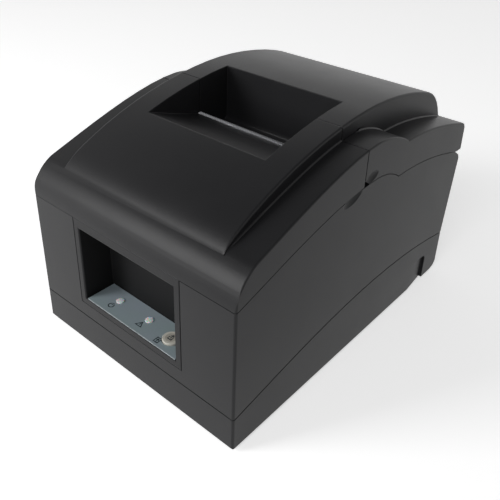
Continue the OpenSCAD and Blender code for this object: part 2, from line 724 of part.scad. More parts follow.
// Angle of a tooth's flank from its middle, at radius r
function flank(n, r) = let (rp = gear_m * n / 2, rb = rp * cos(pressure))
    90 / n - backlash / rp * 45 / PI + involute(pressure) - involute(r > rb ? acos(rb / r) : 0);
// Outline of a gear with n teeth, one of them in the direction phase
module gear_profile(n, phase) {
    rp = gear_m * n / 2;
    radii = [rp - 1.2 * gear_m, rp - 0.5 * gear_m, rp, rp + 0.6 * gear_m, rp + 0.95 * gear_m];
    polygon([for (i = [0:n - 1]) for (s = [-1, 1]) for (k = [0:4])
        let (r = radii[s < 0 ? k : 4 - k], a = phase + 360 / n * i + s * flank(n, r)) r * [cos(a), sin(a)]]);
}
// Phase of a gear with n2 teeth that meshes with one of n1 teeth and phase p1, in direction d from it
function meshed(n1, p1, n2, d) = d + 180 + (180 - (p1 - d) * n1) / n2;
phase_upper = meshed(feed_teeth, 0, upper_teeth, dir_upper);
phase_lower = meshed(upper_teeth, phase_upper, lower_teeth, dir_lower);
phase_pinion = meshed(lower_teeth, phase_lower, pinion_teeth, dir_pinion);

// Gear with a thin web, a rim and lightening holes, outside the left side plate
module idler_gear(c, n, phase) difference() {
    union() {
        across(-gear_x, gear_w - gear_x) translate(c) gear_profile(n, phase);
        rod_x(-gear_x - 0.5, gear_w - gear_x + 0.3, c, stud_r + 2);
    }
    difference() {
        rod_x(-gear_x - 1, -gear_x + gear_w / 3, c, gear_m * n / 2 - 2.4);
        rod_x(-gear_x - 2, 0, c, stud_r + 2);
    }
    for (a = [0:60:300]) rod_x(-gear_x - 1, 1 - gear_x + gear_w, c + (stud_r + gear_m * n / 4) * [cos(a), sin(a)], 1.8);
    rod_x(-gear_x - 2, 0, c, stud_r + run_fit);
}

module feed_roller() color([0.16, 0.16, 0.17]) framed() {
    rod_x(-gear_x - 0.6, chassis_hw + 0.6, feed_at, roller_shaft_r);
    rod_x(4.9 - well_hw, well_hw - 4.9, feed_at, feed_r);
}
module feed_gear() color([0.86, 0.84, 0.78]) framed() difference() {
    across(-gear_x, gear_w - gear_x) translate(feed_at) gear_profile(feed_teeth, 0);
    rod_x(-gear_x - 1, 0, feed_at, roller_shaft_r + tiny);
}
module upper_idler_gear() color([0.86, 0.84, 0.78]) framed() idler_gear(upper_at, upper_teeth, phase_upper);
module lower_idler_gear() color([0.86, 0.84, 0.78]) framed() idler_gear(lower_at, lower_teeth, phase_lower);
module motor_pinion() color([0.75, 0.62, 0.3]) framed() {
    across(-gear_x, gear_w - gear_x) translate(pinion_at) gear_profile(pinion_teeth, phase_pinion);
    rod_x(-gear_x - 0.5, -plate_x + 12, pinion_at, shaft_r);
}
module feed_motor() color([0.45, 0.46, 0.48]) framed() difference() {
    rod_x(-plate_x, -plate_x + 20, pinion_at, feed_motor_r);
    rod_x(-plate_x - 1, -plate_x + 13, pinion_at, shaft_r + run_fit);
}

// ---- Ribbon ----

cassette_y = [27, 63];
knob_at = [21.5 - chassis_hw, (cassette_y[0] + cassette_y[1]) / 2];
horn_in = 44;
horn_out = chassis_hw - 2.8;
horn_end = 97;
spindle_r = 2.5;

module ribbon_cassette() color(dark) framed() difference() {
    union() {
        box([-chassis_hw - 1.5, cassette_y[0], cassette_z], [chassis_hw + 1.5, cassette_y[1], cassette_top]);
        both_sides() translate([0, 0, cassette_z]) linear_extrude(cassette_top - cassette_z) polygon([
            [horn_in, cassette_y[1] - 1], [horn_out, cassette_y[1] - 1], [horn_out, 80], [horn_in + 7, horn_end], [horn_in, horn_end]]);
    }
    // shallow panel in the top and the bore of the winding spindle
    box([-20, cassette_y[0] + 4, cassette_top - 1], [50, cassette_y[1] - 4, far]);
    post(knob_at[0], knob_at[1], cassette_z + 2, far, spindle_r + run_fit);
}
module ribbon_knob() color([0.2, 0.45, 0.6]) framed() translate([knob_at[0], knob_at[1], 0]) {
    translate([0, 0, cassette_z + 2.5]) cylinder(h = 12.5, r = spindle_r);
    translate([0, 0, cassette_top + 0.4]) cylinder(h = 5, r = 8);
    translate([0, 0, cassette_top + 5.4 - tiny]) translate([-7, -1.2, 0]) cube([14, 2.4, 3]);
}
ribbon_y = split_y - 1.2;
ribbon_t = 0.35;
ribbon_w = 12;
module ink_ribbon() color([0.05, 0.05, 0.08]) framed() translate([0, 0, cassette_z + 1]) {
    translate([-horn_in, ribbon_y, 0]) cube([2 * horn_in, ribbon_t, ribbon_w]);
    both_sides() linear_extrude(ribbon_w) polygon([
        [horn_in - 1, ribbon_y], [horn_in, ribbon_y], [horn_in + 5, horn_end], [horn_in + 5.4, horn_end],
        [horn_in, ribbon_y + ribbon_t], [horn_in - 1, ribbon_y + ribbon_t]]);
}

// ---- Paper bay ----

bucket_rim = roll_z + 8;

module paper_bucket() color(dark) framed() {
    difference() {
        across(-bay_hw - bucket_wall, bay_hw + bucket_wall) {
            intersection() {
                translate(roll_at) circle(bucket_r);
                square([far, roll_z]);
            }
            translate([bay[0], roll_z - 1]) square([2 * bucket_r, bucket_rim - roll_z + 1]);
        }
        across(-bay_hw, bay_hw) {
            translate(roll_at) circle(bucket_r - bucket_wall);
            translate([bay[0] + bucket_wall, roll_z]) square([2 * (bucket_r - bucket_wall), far]);
        }
    }
    // ears that stand on the tall posts of the base
    both_sides() for (y = bucket_posts) difference() {
        box([bay_hw + bucket_wall - 0.5, y - 6, bucket_ear_z], [bucket_post_x + 6, y + 6, bucket_ear_z + bucket_ear_t]);
        post(bucket_post_x, y, bucket_ear_z - 1, bucket_ear_z + 5, screw_r + 0.2);
    }
}

// ---- Electronics ----

board_y = [105.5, base_d - 10];
module main_board() color([0.1, 0.35, 0.2]) framed() difference() {
    box([-board_hw, board_y[0], board_z], [board_hw, board_y[1], board_z + board_t]);
    both_sides() for (y = board_posts) post(board_hw - 5, y, board_z - 1, board_z + 3, 1.2);
}
capacitor_r = 5;
capacitor_h = 16;
sink = [18, 22, 13];
sink_at = [18.5, 9];
sink_pitch = 4;
plug_size = [16, 5, 8];
plugs_x = [-34, 24];
plugs_y = 66;
chips = [[[-6, 10], [20, 20, 2.4]], [[-26, 40], [18, 12, 2]], [[2, 44], [28, 14, 2]]];
// Capacitors, chips, a finned heat sink and plugs, placed from the front edge of the main board
module board_parts() color([0.15, 0.15, 0.16]) framed() translate([0, board_y[0], board_z + board_t]) {
    for (i = [0, 1]) translate([-30 + 2.6 * capacitor_r * i, 18.5, 0]) cylinder(h = capacitor_h, r = capacitor_r);
    for (c = chips) translate(c[0]) cube(c[1]);
    translate(sink_at) {
        cube([sink[0], sink[1], 3]);
        for (i = [0:floor(sink[0] / sink_pitch)]) translate([i * sink_pitch, 0, 2]) cube([1.6, sink[1], sink[2] - 2]);
    }
    for (x = plugs_x) translate([x, plugs_y, 0]) cube(plug_size);
}

port_back = base_d - 18;
port_face = base_d - wall;
module interface_port() color([0.7, 0.7, 0.72]) framed() translate([interface_x, 0, port_z]) difference() {
    union() {
        deep(port_back, port_face - 1) translate([-22, board_z + board_t - port_z]) square([44, 11]);
        deep(port_face - 1.2, port_face) translate([-26, -6]) square([52, 12]);
        deep(port_face - tiny, base_d + 3.5) polygon([[-18.6, -4], [-19.8, 4.2], [19.8, 4.2], [18.6, -4]]);
        for (x = [-23.5, 23.5]) translate([x, port_face - 4, 0]) rotate([-90, 0, 0]) cylinder(h = 4, r = 2);
    }
    deep(base_d - 4, base_d + 4) polygon([[-17.6, -3], [-18.8, 3.2], [18.8, 3.2], [17.6, -3]]);
}
module drawer_port() color([0.12, 0.12, 0.13]) framed() translate([drawer_x, 0, port_z]) difference() {
    deep(port_back + 1, base_d + 0.8) translate([-6.6, -5.8]) square([13.2, 11.6]);
    deep(base_d - 10, base_d + 2) {
        translate([-4.9, -3.4]) square([9.8, 6.4]);
        translate([-2, 2.9]) square([4, 1.8]);
    }
}
module power_inlet() color([0.12, 0.12, 0.13]) framed() translate([inlet_x, 0, port_z]) rotate([-90, 0, 0]) difference() {
    union() {
        translate([0, 0, base_d - 15]) cylinder(h = 16, r = inlet_r);
        translate([0, 0, port_face - 1.5]) cylinder(h = 1.5, r = inlet_r + 2);
    }
    difference() {
        translate([0, 0, base_d - 10]) cylinder(h = 12, r = 5.2);
        for (a = [90:120:330]) translate([3 * cos(a), 3 * sin(a), 0]) cylinder(h = base_d - 5, r = 0.8);
    }
}

rocker_pivot = [base_d - 4, port_z];
rocker_tilt = 7;
module switch_housing() color([0.1, 0.1, 0.11]) framed() translate([switch_x, 0, 0]) difference() {
    union() {
        across(-9.4, 9.4) translate([base_d - 14, port_z - 7]) square([14.5, 14]);
        across(-11, 11) translate([base_d, port_z - 8.6]) square([1.5, 17.2]);
    }
    across(-7.8, 7.8) translate([base_d - 11, port_z - 5.9]) square([14, 11.8]);
    rod_x(-8.8, 8.8, rocker_pivot, 1.2 + run_fit);
}
module power_rocker() color([0.08, 0.08, 0.09]) framed() translate([switch_x, 0, 0]) {
    across(-7.5, 7.5) translate(rocker_pivot) rotate(-rocker_tilt)
        polygon([[-3, -3], [-3, 3], [2, 4.7], [5.6, 4.7], [4, 0], [5.6, -4.7], [2, -4.7]]);
    rod_x(-8.5, 8.5, rocker_pivot, 1.2);
}

// ---- The whole machine ----

base_case();
upper_case();
front_bezel();
control_label();
power_led();
error_led();
control_board();
feed_button();
front_cover();
tear_bar();
rear_cover();
platen();
pinch_roller();
front_hinge_pins();
rear_hinge_pins();
rubber_feet();
case_screws();
inner_screws();
mech_chassis();
main_guide_shaft();
side_guide_shaft();
print_carriage();
print_head();
carriage_belt();
drive_pulley();
idler_pulley();
carriage_motor();
feed_roller();
feed_gear();
upper_idler_gear();
lower_idler_gear();
motor_pinion();
feed_motor();
ribbon_cassette();
ribbon_knob();
ink_ribbon();
paper_bucket();
main_board();
board_parts();
interface_port();
drawer_port();
power_inlet();
switch_housing();
power_rocker();
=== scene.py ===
import json
import math

import bmesh
import bpy
from mathutils import Matrix, Vector
from mathutils.bvhtree import BVHTree

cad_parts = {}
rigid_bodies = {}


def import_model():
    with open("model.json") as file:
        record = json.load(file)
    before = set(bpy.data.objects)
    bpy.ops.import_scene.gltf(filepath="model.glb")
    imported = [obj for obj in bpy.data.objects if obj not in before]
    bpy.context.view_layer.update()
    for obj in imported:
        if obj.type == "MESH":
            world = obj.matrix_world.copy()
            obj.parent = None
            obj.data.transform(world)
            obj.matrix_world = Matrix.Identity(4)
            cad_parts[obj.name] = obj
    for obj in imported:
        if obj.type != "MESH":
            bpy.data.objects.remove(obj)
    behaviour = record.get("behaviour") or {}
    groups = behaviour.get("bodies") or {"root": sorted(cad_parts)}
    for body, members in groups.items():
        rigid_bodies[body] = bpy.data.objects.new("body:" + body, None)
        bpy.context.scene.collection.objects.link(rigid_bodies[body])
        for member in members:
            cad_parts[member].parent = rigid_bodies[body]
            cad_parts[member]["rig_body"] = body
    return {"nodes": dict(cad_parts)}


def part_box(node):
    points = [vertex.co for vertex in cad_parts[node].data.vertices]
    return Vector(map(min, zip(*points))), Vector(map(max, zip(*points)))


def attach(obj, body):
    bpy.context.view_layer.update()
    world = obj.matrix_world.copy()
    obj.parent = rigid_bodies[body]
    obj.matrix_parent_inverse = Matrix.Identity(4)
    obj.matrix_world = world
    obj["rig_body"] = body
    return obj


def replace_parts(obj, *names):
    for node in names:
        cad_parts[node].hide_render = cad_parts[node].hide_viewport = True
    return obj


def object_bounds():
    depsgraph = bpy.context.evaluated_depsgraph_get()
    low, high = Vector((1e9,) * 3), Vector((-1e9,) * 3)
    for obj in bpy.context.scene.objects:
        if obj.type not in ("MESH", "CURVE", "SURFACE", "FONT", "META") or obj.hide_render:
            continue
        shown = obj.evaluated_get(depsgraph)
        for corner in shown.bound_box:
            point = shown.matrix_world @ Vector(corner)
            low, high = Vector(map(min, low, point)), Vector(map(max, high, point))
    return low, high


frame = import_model()
nodes = frame["nodes"]
cadLow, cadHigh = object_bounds()
mm = 0.001
halfDepth = cadHigh.y / mm
footHeight = (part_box("base_case")[0].z - cadLow.z) / mm


# Side views are drawn in mm as on the part: y back from the front face, z up from the base
def place(x, y, z):
    return Vector((x, y - halfDepth, z + footHeight)) * mm


def linear(c):
    c = c / 255
    return c / 12.92 if c <= 0.04 else ((c + 0.055) / 1.055) ** 2.4


# A colour as picked on a screen, from 0 to 255 in each channel
def srgb(r, g, b):
    return (linear(r), linear(g), linear(b), 1.0)


# Expressions on sockets add their own Math nodes
class Term:
    def __init__(self, tree, socket):
        self.tree, self.socket = tree, socket

    def mathNode(self, operation, *values):
        n = self.tree.nodes.new("ShaderNodeMath")
        n.operation = operation
        for i, v in enumerate(values):
            if isinstance(v, Term):
                self.tree.links.new(v.socket, n.inputs[i])
            else:
                n.inputs[i].default_value = v
        return Term(self.tree, n.outputs[0])

    def __add__(self, other):
        return self.mathNode("ADD", self, other)

    __radd__ = __add__

    def __mul__(self, other):
        return self.mathNode("MULTIPLY", self, other)

    __rmul__ = __mul__

    def __sub__(self, other):
        return self.mathNode("SUBTRACT", self, other)

    def __rsub__(self, other):
        return self.mathNode("SUBTRACT", other, self)

    def __truediv__(self, other):
        return self.mathNode("DIVIDE", self, other)

    def __rtruediv__(self, other):
        return self.mathNode("DIVIDE", other, self)

    def __pow__(self, other):
        return self.mathNode("POWER", self, other)

    def __rpow__(self, other):
        return self.mathNode("POWER", other, self)

    def clamp(self, low=0.0, high=1.0):
        return self.mathNode("MAXIMUM", self.mathNode("MINIMUM", self, high), low)


# Any other node, with its settings first and then its inputs. A list links all of its terms to one input
class Graph:
    def node(self, kind, inputs=None, out=0, **props):
        n = self.tree.nodes.new(kind)
        for key, value in props.items():
            setattr(n, key, value)
        for key, value in (inputs or {}).items():
            for part in value if isinstance(value, list) else [value]:
                if isinstance(part, Term):
                    self.tree.links.new(part.socket, n.inputs[key])
                else:
                    n.inputs[key].default_value = part
        return Term(self.tree, n.outputs[out])


class Shade(Graph):
    def __init__(self, name):
        self.material = bpy.data.materials.new(name)
        self.material.use_nodes = True
        self.tree = self.material.node_tree
        self.surface = self.tree.nodes["Principled BSDF"]
        self.coords = self.tree.nodes.new("ShaderNodeTexCoord").outputs["Object"]

    # x, y or z of the point, in metres
    def along(self, axis):
        return self.node("ShaderNodeSeparateXYZ", {0: Term(self.tree, self.coords)}, out="xyz".index(axis))

    def noise(self, scale, detail=2.0, roughness=0.5, stretch=None):
        vector = Term(self.tree, self.coords)
        if stretch:
            vector = self.node("ShaderNodeMapping", {"Vector": vector, "Scale": stretch})
        cloud = {"Vector": vector, "Scale": scale, "Detail": detail, "Roughness": roughness}
        return self.node("ShaderNodeTexNoise", cloud)

    def mixColor(self, factor, a, b):
        return self.node("ShaderNodeMix", {0: factor, 6: a, 7: b}, out=2, data_type="RGBA")

    def bump(self, height, strength, distance):
        return self.node("ShaderNodeBump", {"Height": height, "Strength": strength, "Distance": distance})

    def plug(self, **values):
        for key, value in values.items():
            socket = self.surface.inputs[key.replace("_", " ")]
            if isinstance(value, Term):
                self.tree.links.new(value.socket, socket)
            else:
                socket.default_value = value


grainDepth = 0.1 * mm  # height of the grain in every bumped finish


# Moulded plastic: a fine spark-eroded grain, a little uneven in sheen
def mouldedPlastic(name, look):
    s = Shade(name)
    grain = s.noise(look["grain"], 3.0, 0.6)
    patch = s.noise(38.0, 2.0)
    tone = s.mixColor((grain * 0.7 + patch * 0.3).clamp(), look["dark"], look["light"])
    rough = (look["rough"] + (patch - 0.5) * 0.08 + (grain - 0.5) * 0.1).clamp()
    if "pocket" in look:
        # the pocket back from the front plane has a matt finish and a darker colour, which is painted shade
        # in the recess
        pocketShade = ((s.along("y") + halfDepth * mm - 0.9 * mm) / (0.5 * mm)).clamp()
        tone, rough = s.mixColor(pocketShade, tone, look["pocket"]), rough + pocketShade * 0.25
    s.plug(Base_Color=tone, Roughness=rough, Normal=s.bump(grain, look["bump"], grainDepth))
    s.plug(Specular_IOR_Level=look.get("gloss", 0.5))
    return s.material


def metal(name, look):
    s = Shade(name)
    stroke = s.noise(look["grain"], 3.0, 0.6, look.get("stretch", (1, 1, 1)))
    tone = s.mixColor(stroke, look["dark"], look["light"])
    rough = (look["rough"] + (stroke - 0.5) * look.get("spread", 0.12)).clamp()
    s.plug(Base_Color=tone, Roughness=rough, Metallic=1.0, Normal=s.bump(stroke, 0.1, grainDepth))
    return s.material


def smoothSkin(name, look):
    s = Shade(name)
    patch = s.noise(60.0, 2.0)
    tone = s.mixColor(patch, look["dark"], look["light"])
    s.plug(Base_Color=tone, Roughness=(look["rough"] + (patch - 0.5) * 0.06).clamp())
    s.plug(Coat_Weight=look.get("coat", 0.0), Subsurface_Weight=look.get("soft", 0.0), Subsurface_Scale=mm)
    return s.material


# Printed film: a little blue and green in patches, with a pale painted highlight along the front edge
def filmSkin(name, look):
    s = Shade(name)
    tint = s.mixColor(s.noise(55.0, 2.0).clamp(), look["blue"], look["green"])
    # painted highlight: the film turns pale in a thin strip at its front edge
    edge = ((look["edge"] * mm - halfDepth * mm - s.along("y")) / (0.2 * mm)).clamp()
    tone = s.mixColor(edge, tint, look["pale"])
    s.plug(Base_Color=tone, Roughness=look["rough"] + (s.noise(900.0) - 0.5) * 0.1)
    return s.material


# Button cap: cream rim round a worn, darker dish
def buttonSkin(name, look):
    s = Shade(name)
    x, y = look["at"]
    dx, dy = s.along("x") - x * mm, s.along("y") - (y - halfDepth) * mm
    inside = ((look["dish"] * mm - (dx * dx + dy * dy) ** 0.5) / (0.35 * mm)).clamp()
    worn = s.mixColor(s.noise(700.0, 3.0).clamp(), look["worn"], look["cream"])
    tone = s.mixColor(inside * 0.85, look["cream"], worn)
    s.plug(Base_Color=tone, Roughness=look["rough"] + inside * 0.15)
    return s.material


# Green lacquer with fine tracks and pale pads
def boardSkin(name, look):
    s = Shade(name)
    spot = Term(s.tree, s.coords)
    brick = {"Scale": look["tracks"], "Mortar Size": 0.05, "Row Height": 0.25, "Brick Width": 3.0}
    tracks = s.node("ShaderNodeTexBrick", {"Vector": spot, **brick}, out=1)
    pads = s.node("ShaderNodeTexVoronoi", {"Vector": spot, "Scale": look["pads"]})
    pads = ((0.16 - pads) / 0.05).clamp()
    green = s.mixColor(tracks, look["dark"], look["light"])
    tone = s.mixColor(pads, green, look["tin"])
    s.plug(Base_Color=tone, Roughness=look["rough"] + pads * 0.15, Normal=s.bump(tracks, 0.4, grainDepth))
    return s.material


buttonAt = (24.6, 10.0)  # middle of the feed button, right of the middle and back from the front face, in mm
caseGrey = dict(grain=3000.0, dark=srgb(26, 26, 27), light=srgb(36, 36, 38), rough=0.37, bump=0.35, gloss=0.2)
# the pocket colour of the bezel is painted shade for the recess back from the front plane
bezelGrey = dict(caseGrey, dark=srgb(23, 23, 24), light=srgb(31, 31, 33), rough=0.44, pocket=srgb(13, 13, 14))
innerGrey = dict(grain=2400.0, dark=srgb(34, 34, 36), light=srgb(46, 46, 49), rough=0.5, bump=0.35)
rubberBlack = dict(
    grain=1800.0, dark=srgb(18, 18, 18), light=srgb(28, 28, 28), rough=0.8, bump=0.5, gloss=0.3
)
inkedCloth = dict(grain=5000.0, dark=srgb(12, 10, 16), light=srgb(26, 22, 32), rough=0.85, bump=0.8)
ivory = dict(dark=srgb(214, 209, 194), light=srgb(228, 224, 210), rough=0.42, soft=0.2)
# the pale colour of the film is a painted highlight along its front edge
greyFilm = dict(
    blue=srgb(148, 156, 168), green=srgb(138, 158, 156), pale=srgb(186, 194, 198), edge=0.85, rough=0.42
)
ink = dict(dark=srgb(40, 52, 56), light=srgb(52, 62, 66), rough=0.5)
milky = dict(dark=srgb(226, 231, 230), light=srgb(236, 240, 239), rough=0.22, soft=0.4, coat=0.4)
creamCap = dict(at=buttonAt, dish=3.7, cream=srgb(206, 203, 192), worn=srgb(122, 116, 104), rough=0.4)
greenBoard = dict(
    tracks=260.0, pads=330.0, rough=0.34,
    dark=srgb(16, 70, 42), light=srgb(34, 104, 64), tin=srgb(176, 178, 170),
)
knobBlue = dict(dark=srgb(34, 84, 132), light=srgb(42, 96, 146), rough=0.4)
bright = dict(
    grain=260.0, stretch=(1, 14, 14), dark=srgb(176, 178, 182), light=srgb(206, 207, 210), rough=0.3
)
zinc = dict(grain=90.0, dark=srgb(160, 164, 168), light=srgb(186, 189, 193), rough=0.42)
chrome = dict(grain=120.0, dark=srgb(214, 216, 220), light=srgb(226, 228, 230), rough=0.12, spread=0.05)
castGrey = dict(grain=700.0, dark=srgb(104, 106, 110), light=srgb(126, 128, 132), rough=0.55)
yellowBrass = dict(grain=300.0, dark=srgb(182, 148, 84), light=srgb(204, 170, 104), rough=0.32)
motorGrey = dict(grain=80.0, dark=srgb(128, 131, 135), light=srgb(150, 152, 156), rough=0.38)
looks = {
    "casePlastic": (mouldedPlastic, caseGrey),
    "bezelPlastic": (mouldedPlastic, bezelGrey),
    "innerPlastic": (mouldedPlastic, innerGrey),
    "rubber": (mouldedPlastic, rubberBlack),
    "ribbonCloth": (mouldedPlastic, inkedCloth),
    "acetal": (smoothSkin, ivory),
    "labelFilm": (filmSkin, greyFilm),
    "labelInk": (smoothSkin, ink),
    "lamp": (smoothSkin, milky),
    "buttonCap": (buttonSkin, creamCap),
    "circuitBoard": (boardSkin, greenBoard),
    "knobPlastic": (smoothSkin, knobBlue),
    "steel": (metal, bright),
    "zincSheet": (metal, zinc),
    "chromeRod": (metal, chrome),
    "castMetal": (metal, castGrey),
    "brass": (metal, yellowBrass),
    "motorShell": (metal, motorGrey),
}
materials = {name: skin(name, look) for name, (skin, look) in looks.items()}
print("materials made")

smoothUpTo = math.radians(34.0)


# Smooth shading over the shallow angles, with an open edge kept sharp
def finishBmesh(bm):
    bm.normal_update()
    for f in bm.faces:
        f.smooth = True
    for e in bm.edges:
        if len(e.link_faces) == 2:
            e.smooth = e.calc_face_angle(0.0) < smoothUpTo
        else:
            e.smooth = False


def meshPiece(name, bm, material, body):
    finishBmesh(bm)
    mesh = bpy.data.meshes.new(name)
    bm.to_mesh(mesh)
    bm.free()
    mesh.materials.append(materials[material])
    piece = bpy.data.objects.new(name, mesh)
    bpy.context.scene.collection.objects.link(piece)
    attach(piece, body)
    return piece


# The object's mesh with its modifiers carried out
def solidified(piece):
    mesh = bpy.data.meshes.new_from_object(piece.evaluated_get(bpy.context.evaluated_depsgraph_get()))
    piece.modifiers.clear()
    piece.data = mesh
    return mesh


# A Geometry Nodes tree with named sizes. What it makes becomes one plain mesh that rides on a body
class Recipe(Graph):
    sockets = {int: "NodeSocketInt", float: "NodeSocketFloat", tuple: "NodeSocketVector"}

    def __init__(self, name, **sizes):
        self.tree = bpy.data.node_groups.new(name, "GeometryNodeTree")
        self.sizes = sizes
        for key, value in sizes.items():
            self.tree.interface.new_socket(key, in_out="INPUT", socket_type=self.sockets[type(value)])
        self.tree.interface.new_socket("finish", in_out="INPUT", socket_type="NodeSocketMaterial")
        self.tree.interface.new_socket("shape", in_out="OUTPUT", socket_type="NodeSocketGeometry")
        self.given = self.tree.nodes.new("NodeGroupInput")

    def size(self, key):
        return Term(self.tree, self.given.outputs[key])

    # the shape at each place of a grid: count along step, in rows along rowStep
    def grid(self, shape):
        row = self.node("GeometryNodeMeshLine", {"Count": self.size("count"), "Offset": self.size("step")})
        line = {
            "Count": self.size("rows"), "Start Location": self.size("start"), "Offset": self.size("rowStep"),
        }
        starts = self.node("GeometryNodeMeshLine", line)
        placed = self.node("GeometryNodeInstanceOnPoints", {"Points": starts, "Instance": row})
        spots = self.node("GeometryNodeRealizeInstances", {"Geometry": placed})
        return self.node("GeometryNodeInstanceOnPoints", {"Points": spots, "Instance": shape})

    def endsWith(self, shape):
        real = self.node("GeometryNodeRealizeInstances", {"Geometry": shape})
        dressed = self.node("GeometryNodeSetMaterial", {"Geometry": real, "Material": self.size("finish")})
        self.tree.links.new(dressed.socket, self.tree.nodes.new("NodeGroupOutput").inputs[0])
        return self

    def made(self, name, material, body, slot, stands=None, **sizes):
        piece = bpy.data.objects.new(name, bpy.data.meshes.new(name))
        bpy.context.scene.collection.objects.link(piece)
        modifier = piece.modifiers.new("recipe", "NODES")
        modifier.node_group = self.tree
        values = {**self.sizes, **sizes, "finish": materials[material]}
        for item in self.tree.interface.items_tree:
            if item.in_out == "INPUT":
                modifier[item.identifier] = values[item.name]
        mesh = solidified(piece)
        bm = bmesh.new()
        bm.from_mesh(mesh)
        finishBmesh(bm)
        bm.to_mesh(mesh)
        bm.free()
        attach(piece, body)
        if stands:
            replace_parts(piece, stands)


# How edges are eased: lengths in mm, the face in square mm, the angles in degrees
easing = dict(
    weld=0.03, flat=0.6, shortest=0.12, leastFace=0.06, sharpness=26, narrowLand=0.8, share=0.42, least=0.03,
    inLine=0.94, segments=3, stray=0.32, slack=0.02,
)


# A crease between two faces that are large enough to carry an easing
def easable(edge):
    if len(edge.link_faces) != 2 or edge.calc_length() < easing["shortest"] * mm:
        return False
    leastFace = min(f.calc_area() for f in edge.link_faces)
    sharp = edge.calc_face_angle(0.0) > math.radians(easing["sharpness"])
    return leastFace > easing["leastFace"] * mm * mm and sharp


# The gap between an edge and one that runs beside it, in mm, or None where they are not side by side
def gapBeside(edge, other):
    gaps = []
    for line, points in ((edge, other.verts), (other, edge.verts)):
        start = line.verts[0].co
        run = line.verts[1].co - start
        for v in points:
            share = (v.co - start).dot(run) / run.length_squared
            if 0.0 < share < 1.0:
                gaps.append((v.co - start - share * run).length / mm)
    return min(gaps) if gaps else None


# The widest easing that the edges around one edge leave room for, in mm
def roomFor(edge, sharp, width):
    # a land too narrow for two easings, such as the top of a wall's edge
    for face in edge.link_faces:
        for side in face.edges:
            if side in sharp and not set(side.verts) & set(edge.verts):
                gap = gapBeside(edge, side)
                if gap is not None and gap < easing["narrowLand"]:
                    width = min(width, easing["share"] * gap)
    for v in edge.verts:
        along = (edge.other_vert(v).co - v.co).normalized()
        for side in v.link_edges:
            if side is edge:
                continue
            cosine = (side.other_vert(v).co - v.co).normalized().dot(along)
            room = easing["share"] * side.calc_length() / mm
            if side not in sharp:
                width = min(width, room * math.sqrt(max(0.0, 1.0 - cosine * cosine)))
            elif abs(cosine) < easing["inLine"]:
                width = min(width, room)
    return width if width > easing["least"] else 0.0


# A copy of a CAD node with eased edges that stands for the node. crown gives another width where it says so
def softened(node, material, slot, ease, crown):
    source = nodes[node]
    bm = bmesh.new()
    bm.from_mesh(source.data)
    bmesh.ops.remove_doubles(bm, verts=bm.verts, dist=easing["weld"] * mm)
    flat = math.radians(easing["flat"])
    bmesh.ops.dissolve_limit(bm, angle_limit=flat, verts=bm.verts, edges=bm.edges, delimit={"NORMAL"})
    bm.normal_update()
    surface = BVHTree.FromBMesh(bm)
    weight = bm.edges.layers.float.new("bevel_weight_edge")
    sharp = {e for e in bm.edges if easable(e)}
    widths = {}
    for e in sharp:
        wished = crown(e) if crown else None
        widths[e] = roomFor(e, sharp, ease if wished is None else wished)
    widest = max(widths.values())
    for e, width in widths.items():
        e[weight] = width / widest
    mesh = bpy.data.meshes.new(node + "_soft")
    bm.to_mesh(mesh)
    bm.free()
    piece = bpy.data.objects.new(node + "_soft", mesh)
    bpy.context.scene.collection.objects.link(piece)
    mod = piece.modifiers.new("ease", "BEVEL")
    mod.limit_method = "WEIGHT"
    mod.width = widest * mm
    mod.segments = easing["segments"]
    mod.use_clamp_overlap = False
    mod.miter_outer = "MITER_SHARP"
    eased = solidified(piece)
    bm = bmesh.new()
    bm.from_mesh(eased)
    # a point thrown out where bevels meet goes back to the surface, and none leaves the node's box
    low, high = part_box(node)
    for v in bm.verts:
        near, normal, _, gap = surface.find_nearest(v.co)
        outside = (v.co - near).dot(normal) > 0
        if gap > (easing["stray"] * (ease if outside else widest) + easing["slack"]) * mm:
            v.co = near
        v.co = Vector(min(max(c, a), b) for c, a, b in zip(v.co, low, high))
    finishBmesh(bm)
    bm.to_mesh(eased)
    bm.free()
    # normals follow the large faces, so that flat ones stay flat beside the easings
    mod = piece.modifiers.new("flatten", "WEIGHTED_NORMAL")
    mod.keep_sharp = True
    eased = solidified(piece)
    eased.materials.clear()
    eased.materials.append(materials[material])
    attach(piece, source["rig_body"])
    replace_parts(piece, node)


